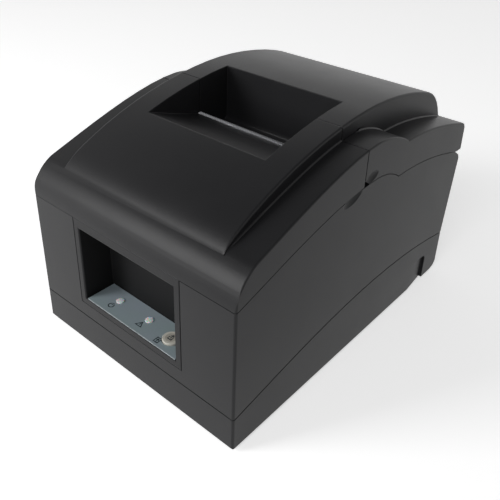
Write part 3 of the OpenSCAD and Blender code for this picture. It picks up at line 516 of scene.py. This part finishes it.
finishes = {
    "base_case": ("casePlastic", "case_plastic"),
    "upper_case": ("casePlastic", "case_plastic"),
    "front_cover": ("casePlastic", "case_plastic"),
    "rear_cover": ("casePlastic", "case_plastic"),
    "front_bezel": ("bezelPlastic", "bezel_plastic"),
    "control_label": ("labelFilm", "label_film"),
    "power_led": ("lamp", "lamp_clear"),
    "error_led": ("lamp", "lamp_clear"),
    "control_board": ("circuitBoard", "circuit_board"),
    "feed_button": ("buttonCap", "button_plastic"),
    "tear_bar": ("steel", "bright_steel"),
    "platen": ("innerPlastic", "dark_plastic"),
    "pinch_roller": ("rubber", "roller_rubber"),
    "front_hinge_pins": ("steel", "bright_steel"),
    "rear_hinge_pins": ("steel", "bright_steel"),
    "rubber_feet": ("rubber", "rubber"),
    "case_screws": ("steel", "bright_steel"),
    "inner_screws": ("steel", "bright_steel"),
    "mech_chassis": ("zincSheet", "sheet_steel"),
    "main_guide_shaft": ("chromeRod", "shaft_steel"),
    "side_guide_shaft": ("chromeRod", "shaft_steel"),
    "print_carriage": ("innerPlastic", "dark_plastic"),
    "print_head": ("castMetal", "head_metal"),
    "carriage_belt": ("rubber", "belt_rubber"),
    "drive_pulley": ("acetal", "gear_plastic"),
    "idler_pulley": ("acetal", "gear_plastic"),
    "carriage_motor": ("motorShell", "motor_steel"),
    "feed_roller": ("rubber", "roller_rubber"),
    "feed_gear": ("acetal", "gear_plastic"),
    "upper_idler_gear": ("acetal", "gear_plastic"),
    "lower_idler_gear": ("acetal", "gear_plastic"),
    "motor_pinion": ("brass", "brass"),
    "feed_motor": ("motorShell", "motor_steel"),
    "ribbon_cassette": ("innerPlastic", "ribbon_plastic"),
    "ribbon_knob": ("knobPlastic", "knob_plastic"),
    "ink_ribbon": ("ribbonCloth", "ribbon_cloth"),
    "paper_bucket": ("innerPlastic", "dark_plastic"),
    "main_board": ("circuitBoard", "circuit_board"),
    "board_parts": ("innerPlastic", "chip_plastic"),
    "interface_port": ("zincSheet", "port_metal"),
    "drawer_port": ("innerPlastic", "port_plastic"),
    "power_inlet": ("innerPlastic", "port_plastic"),
    "switch_housing": ("innerPlastic", "port_plastic"),
    "power_rocker": ("innerPlastic", "port_plastic"),
}
for node, (material, slot) in finishes.items():
    nodes[node].data.materials.clear()
    nodes[node].data.materials.append(materials[material])

# Widths of the easing in mm. hump and side are half widths, and y is measured back from the front face
cover = dict(
    hump=62.4, side=80.0, near=0.3, topsAbove=96, cornerFrom=77, cornerDepth=3.2,
    humpEdge=1.5, humpStart=10.6, humpGrowth=0.6, humpLeast=0.1, rimEdge=1.0, rimStart=3.0, rimGrowth=0.5,
)


# Half width, depth and height of an edge's middle, in mm
def middleOf(edge):
    mid = (edge.verts[0].co + edge.verts[1].co) / 2
    return abs(mid.x) / mm, mid.y / mm + halfDepth, mid.z / mm - footHeight


# Wider easing along the top edges of hump and rim, on the outside only
def coverEdge(edge):
    x, y, z = middleOf(edge)
    a, b = (f.normal for f in edge.link_faces)
    along = (edge.verts[1].co - edge.verts[0].co).normalized()
    sideways = max(abs(a.x), abs(b.x)) > 0.9
    upward = max(a.z, b.z) > 0.3
    # the lower edges stay crisp, so that the seams are hairlines, and the corner is round already
    if min(a.z, b.z) < -0.3 or (y < cover["cornerDepth"] and x > cover["cornerFrom"]):
        return 0.0
    if abs(along.x) > 0.2 or z < cover["topsAbove"] or not (sideways and upward):
        return None
    if abs(x - cover["hump"]) < cover["near"]:
        return min(cover["humpEdge"], max(cover["humpLeast"], cover["humpGrowth"] * (y - cover["humpStart"])))
    if abs(x - cover["side"]) < cover["near"]:
        return min(cover["rimEdge"], cover["rimGrowth"] * (y - cover["rimStart"]))
    return None


opening = dict(edge=1.1, halfWidth=38.8, foot=36, top=84, depth=0.1)


# The opening in the bezel has a rolled front edge
def openingEdge(edge):
    x, y, z = middleOf(edge)
    if y < opening["depth"] and opening["foot"] < z < opening["top"] and x < opening["halfWidth"]:
        return opening["edge"]
    return None


for node, ease, crown in (
    ("base_case", 0.4, None),
    ("upper_case", 0.4, None),
    ("front_cover", 0.4, coverEdge),
    ("rear_cover", 0.4, coverEdge),
    ("front_bezel", 0.4, openingEdge),
    ("feed_button", 0.5, None),
    ("tear_bar", 0.12, None),
):
    softened(node, *finishes[node], ease=ease, crown=crown)
print("shells eased")

marks = dict(ink=0.06, line=0.5, power=(-22.4, 5.9), warning=(2.6, 6.4), feed=(19.6, 4.3))
panelTop = (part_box("control_label")[1].z / mm) - footHeight


# A straight ink stroke of width w from a to b, flat on the label
def stroke(bm, a, b, w, z0, z1):
    along = (Vector(b) - Vector(a)).normalized() * w / 2
    across = Vector((-along.y, along.x))
    a, b = Vector(a) - along, Vector(b) + along
    rim = [a + across, a - across, b - across, b + across]
    low = [bm.verts.new(place(p.x, p.y, z0)) for p in rim]
    high = [bm.verts.new(place(p.x, p.y, z1)) for p in rim]
    bm.faces.new(high)
    bm.faces.new(low[::-1])
    for i in range(4):
        bm.faces.new((low[i], low[i - 3], high[i - 3], high[i]))


def strokes(bm, centre, path, w, z0, z1):
    points = [(centre[0] + x, centre[1] + y) for x, y in path]
    for a, b in zip(points, points[1:]):
        stroke(bm, a, b, w, z0, z1)


def arc(radius, start, end, n=18):
    angles = [math.radians(start + (end - start) * i / n) for i in range(n + 1)]
    return [(radius * math.cos(a), radius * math.sin(a)) for a in angles]


# Plain signs in ink: power, attention and paper feed
bm = bmesh.new()
pen = dict(w=marks["line"], z0=panelTop - 0.02, z1=panelTop + marks["ink"])
strokes(bm, marks["power"], arc(1.7, 125, 415), **pen)
strokes(bm, marks["power"], [(0, 0.7), (0, 2.2)], **pen)
strokes(bm, marks["warning"], [(-2.1, -1.5), (2.1, -1.5), (0, 2.0), (-2.1, -1.5)], **pen)
strokes(bm, marks["warning"], [(0, 0.7), (0, -0.3)], **pen)
strokes(bm, marks["feed"], [(-1.5, -1.8), (1.5, -1.8), (1.5, 1.8), (-1.5, 1.8), (-1.5, -1.8)], **pen)
strokes(bm, marks["feed"], [(-0.8, 0.1), (0, 0.9), (0.8, 0.1)], **pen)
strokes(bm, marks["feed"], [(0, 0.9), (0, -1.1)], **pen)
meshPiece("label_signs", bm, "labelInk", "case")


# A round piece from its half outline (r, along) about an axis, closed at the ends where r is 0
def turned(bm, x, y, z, outline, n=40, axis="z"):
    rings = []
    for r, along in outline:
        spots = []
        for i in range(n if r > 1e-6 else 1):
            c, d = r * math.cos(2 * math.pi * i / n), r * math.sin(2 * math.pi * i / n)
            spot = (x + c, y + d, z + along) if axis == "z" else (x + along, y + c, z + d)
            spots.append(bm.verts.new(place(*spot)))
        rings.append(spots if len(spots) > 1 else spots * n)
    for under, over in zip(rings, rings[1:]):
        for i in range(n):
            j = (i + 1) % n
            corners = []
            for v in (under[i], under[j], over[j], over[i]):
                if v not in corners:
                    corners.append(v)
            bm.faces.new(corners)


# Milky light guides that end in a low lens just above the label
lens = dict(r=2.5, foot=27.6, rise=0.62, at=dict(power_led=(-21.4, 12.0), error_led=(4.0, 12.2)))
for node, (x, y) in lens["at"].items():
    bm = bmesh.new()
    r, foot, top = lens["r"], lens["foot"], panelTop + lens["rise"]
    outline = [(0, foot), (r, foot), (r, top - 0.38), (r - 0.12, top - 0.2), (r - 0.5, top - 0.08), (0, top)]
    turned(bm, x, y, 0, outline)
    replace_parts(meshPiece(node + "_lens", bm, "lamp", "case"), node)

# Paper and arrow raised on the middle of the feed button
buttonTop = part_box("feed_button")[1].z / mm - footHeight
bm = bmesh.new()
pen = dict(w=0.45, z0=buttonTop - 0.05, z1=buttonTop + 0.12)
strokes(bm, buttonAt, [(-1.3, -1.7), (1.3, -1.7), (1.3, 0.2)], **pen)
strokes(bm, buttonAt, [(-1.3, -1.7), (-1.3, 0.2)], **pen)
strokes(bm, buttonAt, [(0, -0.8), (0, 1.9)], **pen)
strokes(bm, buttonAt, [(-0.9, 1.0), (0, 1.9), (0.9, 1.0)], **pen)
meshPiece("button_sign", bm, "labelInk", "feed_button")
print("front panel dressed")

# What every recipe of rows takes: the first place, the step along a row, and the step from row to row
rowSizes = dict(start=(0.0, 0.0, 0.0), step=(0.0, 0.0, 0.0), count=1, rowStep=(0.0, 0.0, 0.0), rows=1)


def blockRecipe():
    g = Recipe("blockRows", **rowSizes, block=(mm, mm, mm))
    return g.endsWith(g.grid(g.node("GeometryNodeMeshCube", {"Size": g.size("block")})))


# Pins with a tapered end, square with 4 sides
def pinRecipe():
    g = Recipe(
        "pinRows", **rowSizes, sides=4, foot=0.4 * mm, tip=0.3 * mm, tall=3 * mm, turn=(0.0, 0.0, 0.0),
    )
    pin = g.node("GeometryNodeMeshCone", {
        "Vertices": g.size("sides"), "Radius Bottom": g.size("foot"), "Radius Top": g.size("tip"),
        "Depth": g.size("tall"),
    })
    return g.endsWith(g.grid(g.node("GeometryNodeTransform", {"Geometry": pin, "Rotation": g.size("turn")})))


# Blocks round a circle, each turned outwards
def ringRecipe():
    g = Recipe(
        "blockRing", centre=(0.0, 0.0, 0.0), turn=(0.0, 0.0, 0.0), count=12, radius=5 * mm, block=(mm, mm, mm)
    )
    hoop = g.node("GeometryNodeMeshCircle", {"Vertices": g.size("count"), "Radius": g.size("radius")})
    spoke = {"Vector": g.node("GeometryNodeInputPosition")}
    outward = g.node("FunctionNodeAlignRotationToVector", spoke, axis="X")
    block = g.node("GeometryNodeMeshCube", {"Size": g.size("block")})
    hoop = g.node("GeometryNodeInstanceOnPoints", {"Points": hoop, "Instance": block, "Rotation": outward})
    return g.endsWith(g.node("GeometryNodeTransform", {
        "Geometry": hoop, "Translation": g.size("centre"), "Rotation": g.size("turn")
    }))


# Teeth along a flat belt loop with round ends
def beltRecipe():
    g = Recipe(
        "beltTeeth", centre=(0.0, 0.0, 0.0), span=100 * mm, wide=12 * mm, pitch=2 * mm, block=(mm, mm, mm)
    )
    frameSize = {"Width": g.size("span"), "Height": g.size("wide")}
    loop = g.node("GeometryNodeCurvePrimitiveQuadrilateral", frameSize)
    # a hair under half the width, so that the two rounds of an end don't share a point
    ends = {"Curve": loop, "Count": 16, "Radius": g.size("wide") * 0.4999}
    loop = g.node("GeometryNodeFilletCurve", ends, mode="POLY")
    walk = g.node("GeometryNodeCurveToPoints", {"Curve": loop, "Length": g.size("pitch")}, mode="LENGTH")
    tangent = {"Vector": Term(g.tree, walk.socket.node.outputs["Tangent"])}
    heading = g.node("FunctionNodeAlignRotationToVector", tangent, axis="X")
    tooth = g.node("GeometryNodeMeshCube", {"Size": g.size("block")})
    walk = g.node("GeometryNodeInstanceOnPoints", {"Points": walk, "Instance": tooth, "Rotation": heading})
    return g.endsWith(g.node("GeometryNodeTransform", {"Geometry": walk, "Translation": g.size("centre")}))


# Cross-head screws with a thread, head up unless turned
def screwRecipe():
    g = Recipe(
        "screwRows", **rowSizes, shank=1.3 * mm, head=2.66 * mm, deep=1.8 * mm, long=10 * mm, pitch=0.9 * mm,
        turn=(0.0, 0.0, 0.0),
    )
    shank, head, deep, long = (g.size(key) for key in ("shank", "head", "deep", "long"))

    def spot(z, x=0.0, y=0.0):
        return g.node("ShaderNodeCombineXYZ", {"X": x, "Y": y, "Z": z})

    def lifted(kind, inputs, z):
        shape = g.node(kind, inputs)
        return g.node("GeometryNodeTransform", {"Geometry": shape, "Translation": spot(z)})

    domed = {"Vertices": 24, "Side Segments": 1, "Radius Top": head * 0.72, "Radius Bottom": head}
    crown = lifted("GeometryNodeMeshCone", {**domed, "Depth": deep * 0.45}, deep * 0.55)
    rim = {"Vertices": 24, "Radius": head, "Depth": deep * 0.55}
    brim = lifted("GeometryNodeMeshCylinder", rim, deep * 0.275)
    # the two arms of the cross, as shares of the head's radius
    slots = [
        lifted("GeometryNodeMeshCube", {"Size": spot(deep, head * across, head * along)}, deep * 1.05)
        for across, along in ((1.15, 0.26), (0.26, 1.15))
    ]
    solidHead = g.node("GeometryNodeMeshBoolean", {"Mesh 2": [crown, brim]}, operation="UNION")
    cross = {"Mesh 1": solidHead, "Mesh 2": slots}
    cutHead = g.node("GeometryNodeMeshBoolean", cross, operation="DIFFERENCE")
    core = {"Vertices": 16, "Radius": shank * 0.8, "Depth": long}
    shaft = lifted("GeometryNodeMeshCylinder", core, long * -0.5)
    helix = g.node("GeometryNodeCurveSpiral", {
        "Resolution": 12, "Rotations": long / g.size("pitch") * 0.9, "Start Radius": shank * 0.82,
        "End Radius": shank * 0.82, "Height": long * 0.9,
    })
    ridge = g.node("GeometryNodeCurvePrimitiveCircle", {"Resolution": 3, "Radius": shank * 0.15})
    sweep = {"Curve": helix, "Profile Curve": ridge, "Fill Caps": True}
    thread = lifted("GeometryNodeCurveToMesh", sweep, long * -0.98)
    whole = g.node("GeometryNodeJoinGeometry", {"Geometry": [cutHead, shaft, thread]})
    screw = g.node("GeometryNodeTransform", {"Geometry": whole, "Rotation": g.size("turn")})
    return g.endsWith(g.grid(screw))


# Round pads with a shallow dish underneath
def footRecipe():
    g = Recipe("footPads", **rowSizes, radius=7 * mm, tall=2 * mm)
    radius, tall = g.size("radius"), g.size("tall")
    pad = g.node("GeometryNodeMeshCylinder", {"Vertices": 48, "Radius": radius, "Depth": tall})
    dish = g.node("GeometryNodeMeshCone", {
        "Vertices": 48, "Radius Top": radius * 0.5, "Radius Bottom": radius * 0.72, "Depth": tall * 0.4
    })
    sunk = {"Geometry": dish, "Translation": g.node("ShaderNodeCombineXYZ", {"Z": tall * -0.55})}
    dish = g.node("GeometryNodeTransform", sunk)
    cut = {"Mesh 1": pad, "Mesh 2": [dish]}
    return g.endsWith(g.grid(g.node("GeometryNodeMeshBoolean", cut, operation="DIFFERENCE")))


blockRows = blockRecipe()
pinRows = pinRecipe()
blockRing = ringRecipe()
beltTeeth = beltRecipe()
screwRows = screwRecipe()
footPads = footRecipe()
print("recipes ready")


# Step and size vectors in mm
def vec(x, y, z):
    return (x * mm, y * mm, z * mm)


# The sizes of a dictionary, in mm, as a recipe takes them. Angles and counts are passed beside them
def scaled(spec):
    return {key: vec(*value) for key, value in spec.items() if key in ("step", "rowStep", "block")}


unturned = (0.0, 0.0, 0.0)
flip = (math.pi, 0.0, 0.0)
screwShape = dict(head=2.05, deep=1.4, pitch=0.7)  # as shares of the shank's radius r
screwSets = {
    "case_screw_set": dict(
        stands="case_screws", at=(-72.8, 12, 3), step=(145.6, 0, 0), rowStep=(0, 196, 0),
        r=1.3, long=22, turn=flip,
    ),
    "chassis_screws": dict(at=(-52, 29.5, 46), step=(104, 0, 0), rowStep=(0, 66.5, 0), r=1.3, long=10),
    "bucket_screws": dict(at=(-50, 140, 60.57), step=(100, 0, 0), rowStep=(0, 65, 0), r=1.3, long=10),
    "board_screws": dict(at=(-39, 110, 9.6), step=(78, 0, 0), rowStep=(0, 80, 0), r=1.0, long=6),
    "panel_screws": dict(at=(-12, 15.5, 26), step=(26, 0, 0), rows=1, r=0.9, long=6, turn=flip),
}
for name, spec in screwSets.items():
    r = spec["r"] * mm
    shape = {key: share * r for key, share in screwShape.items()}
    screwRows.made(
        name, "steel", "case", "bright_steel", stands=spec.get("stands", "inner_screws"),
        start=tuple(place(*spec["at"])), count=2, rows=spec.get("rows", 2), shank=r, long=spec["long"] * mm,
        turn=spec.get("turn", unturned), **shape, **scaled(spec),
    )
print("screws made")

footPads.made(
    "foot_pads", "rubber", "case", "rubber", stands="rubber_feet", start=tuple(place(-56, 14, -1)),
    step=vec(112, 0, 0), count=2, rowStep=vec(0, 192.5, 0), rows=2,
)

# Materials and slots of the small rows
contact = ("brass", "brass")
chipLeg = ("zincSheet", "port_metal")
darkChip = ("innerPlastic", "chip_plastic")
paleChip = ("acetal", "gear_plastic")

# Rows of small blocks, each from the middle of its first block
smallRows = {
    "port_tongue": dict(
        dress=("innerPlastic", "port_plastic"), at=(-13, 224.4, 17.1), block=(32.4, 5.6, 2.3)
    ),
    "port_contacts": dict(
        dress=contact, at=(-27.9, 224.6, 15.86), block=(0.9, 5.0, 0.24),
        step=(1.75, 0, 0), count=18, rowStep=(0, 0, 2.48), rows=2,
    ),
    "drawer_contacts": dict(
        dress=contact, at=(25.45, 220.4, 15.0), block=(0.4, 8.6, 0.3), step=(1.02, 0, 0), count=6
    ),
    "chip_legs_x": dict(
        dress=chipLeg, at=(-6.7, 116.9, 9.95), block=(1.4, 0.45, 0.5),
        step=(0, 1.15, 0), count=16, rowStep=(21.4, 0, 0), rows=2,
    ),
    "chip_legs_y": dict(
        dress=chipLeg, at=(-4.6, 114.8, 9.95), block=(0.45, 1.4, 0.5),
        step=(1.15, 0, 0), count=16, rowStep=(0, 21.4, 0), rows=2,
    ),
    "driver_legs_a": dict(
        dress=chipLeg, at=(-24.7, 144.8, 9.95), block=(0.5, 1.4, 0.5),
        step=(1.4, 0, 0), count=12, rowStep=(0, 13.4, 0), rows=2,
    ),
    "driver_legs_b": dict(
        dress=chipLeg, at=(3.4, 148.8, 9.95), block=(0.5, 1.4, 0.5),
        step=(1.4, 0, 0), count=19, rowStep=(0, 15.4, 0), rows=2,
    ),
    "resistors_a": dict(
        dress=darkChip, at=(-41, 140, 9.85), block=(1.3, 2.1, 0.55),
        step=(0, 3.6, 0), count=8, rowStep=(3.4, 0, 0), rows=4,
    ),
    "resistors_b": dict(
        dress=paleChip, at=(-14, 164, 9.9), block=(2.1, 1.3, 0.7),
        step=(3.6, 0, 0), count=6, rowStep=(0, 2.9, 0), rows=3,
    ),
    "resistors_c": dict(
        dress=darkChip, at=(34.5, 145, 9.85), block=(1.3, 2.1, 0.55),
        step=(0, 3.6, 0), count=6, rowStep=(3.4, 0, 0), rows=3,
    ),
    "wire_plug_ribs": dict(
        dress=paleChip, at=(-33.2, 171.2, 13.4), block=(0.7, 0.6, 7.2),
        step=(1.9, 0, 0), count=8, rowStep=(58, 0, 0), rows=2,
    ),
    "cassette_ribs": dict(
        dress=("innerPlastic", "ribbon_plastic"), at=(-10, 45, 82.3), block=(0.9, 25, 0.7),
        step=(7.5, 0, 0), count=8,
    ),
    "head_terminals": dict(
        dress=contact, body="carriage", at=(-8, 89.6, 85.4), block=(0.6, 1.6, 0.8), step=(1.6, 0, 0), count=11
    ),
}
for name, spec in smallRows.items():
    material, slot = spec["dress"]
    blockRows.made(
        name, material, spec.get("body", "case"), slot, start=tuple(place(*spec["at"])),
        count=spec.get("count", 1), rows=spec.get("rows", 1), **scaled(spec),
    )

# The closed ends of the two motors, in line with their shafts
motorEnd = (46, 50, 24.5)
feedMotorEnd = (-38, 72.008, 30.393)
onSide = (0.0, math.pi / 2, 0.0)
facingBack = (-math.pi / 2, 0.0, 0.0)

# Blocks round a circle about the vertical, or about another line where turn is given
rings = {
    "knob_knurl": dict(
        dress=("knobPlastic", "knob_plastic"), body="ribbon_knob", at=(-38, 45, 85.9),
        count=44, radius=8.0, block=(0.5, 0.55, 4.0),
    ),
    "head_bolts": dict(
        dress=("steel", "bright_steel"), body="carriage", at=(0, 67.8, 76), turn=facingBack,
        count=9, radius=8.2, block=(2.0, 1.1, 0.5),
    ),
    "motor_vents": dict(
        dress=("innerPlastic", "dark_plastic"), at=motorEnd, count=10, radius=9.6, block=(3.6, 1.1, 0.3)
    ),
    "feed_motor_vents": dict(
        dress=("innerPlastic", "dark_plastic"), at=feedMotorEnd, turn=onSide,
        count=10, radius=8.6, block=(3.4, 1.0, 0.3),
    ),
    "sleeve_ribs": dict(
        dress=("rubber", "roller_rubber"), body="feed_roll", at=(0, 100.2, 94), turn=onSide,
        count=40, radius=4.98, block=(0.16, 0.3, 79.4),
    ),
}
for name, spec in rings.items():
    material, slot = spec["dress"]
    blockRing.made(
        name, material, spec.get("body", "case"), slot, centre=tuple(place(*spec["at"])),
        turn=spec.get("turn", unturned), count=spec["count"], radius=spec["radius"] * mm, **scaled(spec),
    )

pinRows.made(
    "print_wires", "steel", "carriage", "bright_steel", start=tuple(place(0, 101.7, 75.3)),
    step=vec(0, 0, 0.75), count=9, sides=8, foot=0.17 * mm, tip=0.15 * mm, tall=0.45 * mm, turn=facingBack,
)
pinRows.made(
    "plug_pins", "brass", "case", "brass", start=tuple(place(-31.5, 174, 17.5)),
    step=vec(2.75, 0, 0), count=5, rowStep=vec(58, 0, 0), rows=2, foot=0.45 * mm, tip=0.4 * mm, tall=0.6 * mm,
)
belt = dict(at=(0, 50, 51), reach=92, wide=12.32, pitch=2.032, tooth=(0.9, 0.24, 5.6))
beltTeeth.made(
    "belt_teeth", "rubber", "case", "belt_rubber", centre=tuple(place(*belt["at"])),
    span=(belt["reach"] + belt["wide"]) * mm, wide=belt["wide"] * mm, pitch=belt["pitch"] * mm,
    block=vec(*belt["tooth"]),
)
print("rows and rings made")

capTop = [(0, -0.05), (4.3, -0.05), (4.3, 0.12), (0, 0.12)]
# Turned pieces of the mechanism and the board, with half outlines (r, along) about their axis
turnedParts = {
    "motor_cap": dict(
        dress=("motorShell", "motor_steel"), at=motorEnd,
        outline=[(0, -1.6), (4.4, -1.6), (4.9, -1.2), (4.9, 0.05), (0, 0.05)],
    ),
    "motor_band": dict(
        dress=("zincSheet", "sheet_steel"), at=(46, 50, 34.5),
        outline=[(14.6, -3), (15.12, -2.8), (15.12, 2.8), (14.6, 3)],
    ),
    "feed_motor_cap": dict(
        dress=("motorShell", "motor_steel"), at=feedMotorEnd, axis="x",
        outline=[(0, -0.05), (4.2, -0.05), (4.2, 1.2), (3.8, 1.6), (0, 1.6)],
    ),
    "feed_motor_band": dict(
        dress=("zincSheet", "sheet_steel"), at=(-48, 72.008, 30.393), axis="x",
        outline=[(13, -3), (13.5, -2.8), (13.5, 2.8), (13, 3)],
    ),
    "capacitor_cap_a": dict(dress=("steel", "bright_steel"), at=(-30, 124, 25.6), outline=capTop),
    "capacitor_cap_b": dict(dress=("steel", "bright_steel"), at=(-17, 124, 25.6), outline=capTop),
}
for name, spec in turnedParts.items():
    bm = bmesh.new()
    turned(bm, *spec["at"], spec["outline"], axis=spec.get("axis", "z"))
    material, slot = spec["dress"]
    meshPiece(name, bm, material, "case")
print("turned pieces made")

floorSpec = dict(size=4.0, colour=srgb(250, 250, 250), rough=0.9, lift=0.55)
bm = bmesh.new()
bmesh.ops.create_grid(bm, x_segments=1, y_segments=1, size=floorSpec["size"])
floorMesh = bpy.data.meshes.new("floor")
bm.to_mesh(floorMesh)
bm.free()
floor = bpy.data.objects.new("floor", floorMesh)
floor.location = (0, 0, cadLow.z)
bpy.context.scene.collection.objects.link(floor)
# The paper floor is lifted to white where it is looked at or mirrored, and keeps the shadow
s = Shade("floorPaper")
rays = [s.node("ShaderNodeLightPath", out=i) for i in (0, 3, 6)]  # camera, glossy and transmission rays
s.plug(Base_Color=floorSpec["colour"], Roughness=floorSpec["rough"], Emission_Strength=floorSpec["lift"])
s.plug(Emission_Color=s.mixColor(sum(rays).clamp(), (0, 0, 0, 1), (1, 1, 1, 1)))
floorMesh.materials.append(s.material)

# White where the camera, a mirror or clear plastic looks past the printer, softer as a light
studio = dict(room=0.4, ceilingFrom=0.46, ceilingTo=0.78, ceiling=0.22)
world = bpy.data.worlds.new("studio")
bpy.context.scene.world = world
world.use_nodes = True
tree = world.node_tree
back = tree.nodes["Background"]
back.inputs["Color"].default_value = (1, 1, 1, 1)
path = tree.nodes.new("ShaderNodeLightPath")
seen = sum(Term(tree, path.outputs[ray]) for ray in ("Is Camera Ray", "Is Glossy Ray", "Is Transmission Ray"))
room = seen.clamp() * (1 - studio["room"]) + studio["room"]
direction = tree.nodes.new("ShaderNodeSeparateXYZ")
tree.links.new(tree.nodes.new("ShaderNodeTexCoord").outputs["Generated"], direction.inputs[0])
steepness = studio["ceilingTo"] - studio["ceilingFrom"]
rise = (Term(tree, direction.outputs["Z"]) - studio["ceilingFrom"]) / steepness
# a dim ceiling that the camera never sees
room = room * (1 - rise.clamp() * (1 - Term(tree, path.outputs["Is Camera Ray"])) * (1 - studio["ceiling"]))
tree.links.new(room.socket, back.inputs["Strength"])

lights = {
    "frontKey": dict(at=(0.3, -1.12, 1.0), size=(0.6, 0.6), power=4.0),
    "leftSoft": dict(at=(-0.62, -1.0, 0.56), size=(0.45, 0.7), power=8.6),
}
lampAim = Vector((0, 0, 0.08))


def areaLight(name, spec):
    data = bpy.data.lights.new(name, "AREA")
    data.shape = "RECTANGLE"
    data.size, data.size_y = spec["size"]
    data.energy = spec["power"]
    light = bpy.data.objects.new(name, data)
    light.location = spec["at"]
    light.rotation_mode = "QUATERNION"
    light.rotation_quaternion = (lampAim - Vector(spec["at"])).to_track_quat("-Z", "Y")
    bpy.context.scene.collection.objects.link(light)


for name, spec in lights.items():
    areaLight(name, spec)

# Camera as fitted to the edges in the photo. The eye is in mm, focal and centre are in pixels
photo = dict(
    eye=(230.6, -173.57, 283.43), azimuth=39.86, elevation=28.76, roll=2.01,
    focal=650.26, centre=(250.19, 185.82), pixels=500,
)
sensorWidth = 36.0
az, el, roll = (math.radians(photo[k]) for k in ("azimuth", "elevation", "roll"))
forward = Vector((-math.sin(az) * math.cos(el), math.cos(az) * math.cos(el), -math.sin(el)))
level = forward.cross(Vector((0, 0, 1))).normalized()
upright = level.cross(forward)
right = level * math.cos(roll) + upright * math.sin(roll)
up = upright * math.cos(roll) - level * math.sin(roll)
camera = bpy.data.objects.new("camera", bpy.data.cameras.new("camera"))
camera.data.sensor_width = sensorWidth
camera.data.lens = photo["focal"] / photo["pixels"] * sensorWidth
camera.data.shift_x = (photo["pixels"] / 2 - photo["centre"][0]) / photo["pixels"]
camera.data.shift_y = (photo["centre"][1] - photo["pixels"] / 2) / photo["pixels"]
camera.data.clip_start = 0.01
turn = Matrix((right, up, -forward)).transposed().to_4x4()
camera.matrix_world = Matrix.Translation(place(*photo["eye"])) @ turn
bpy.context.scene.collection.objects.link(camera)
bpy.context.scene.camera = camera
bpy.context.scene.view_settings.view_transform = "Standard"
print("stage set")
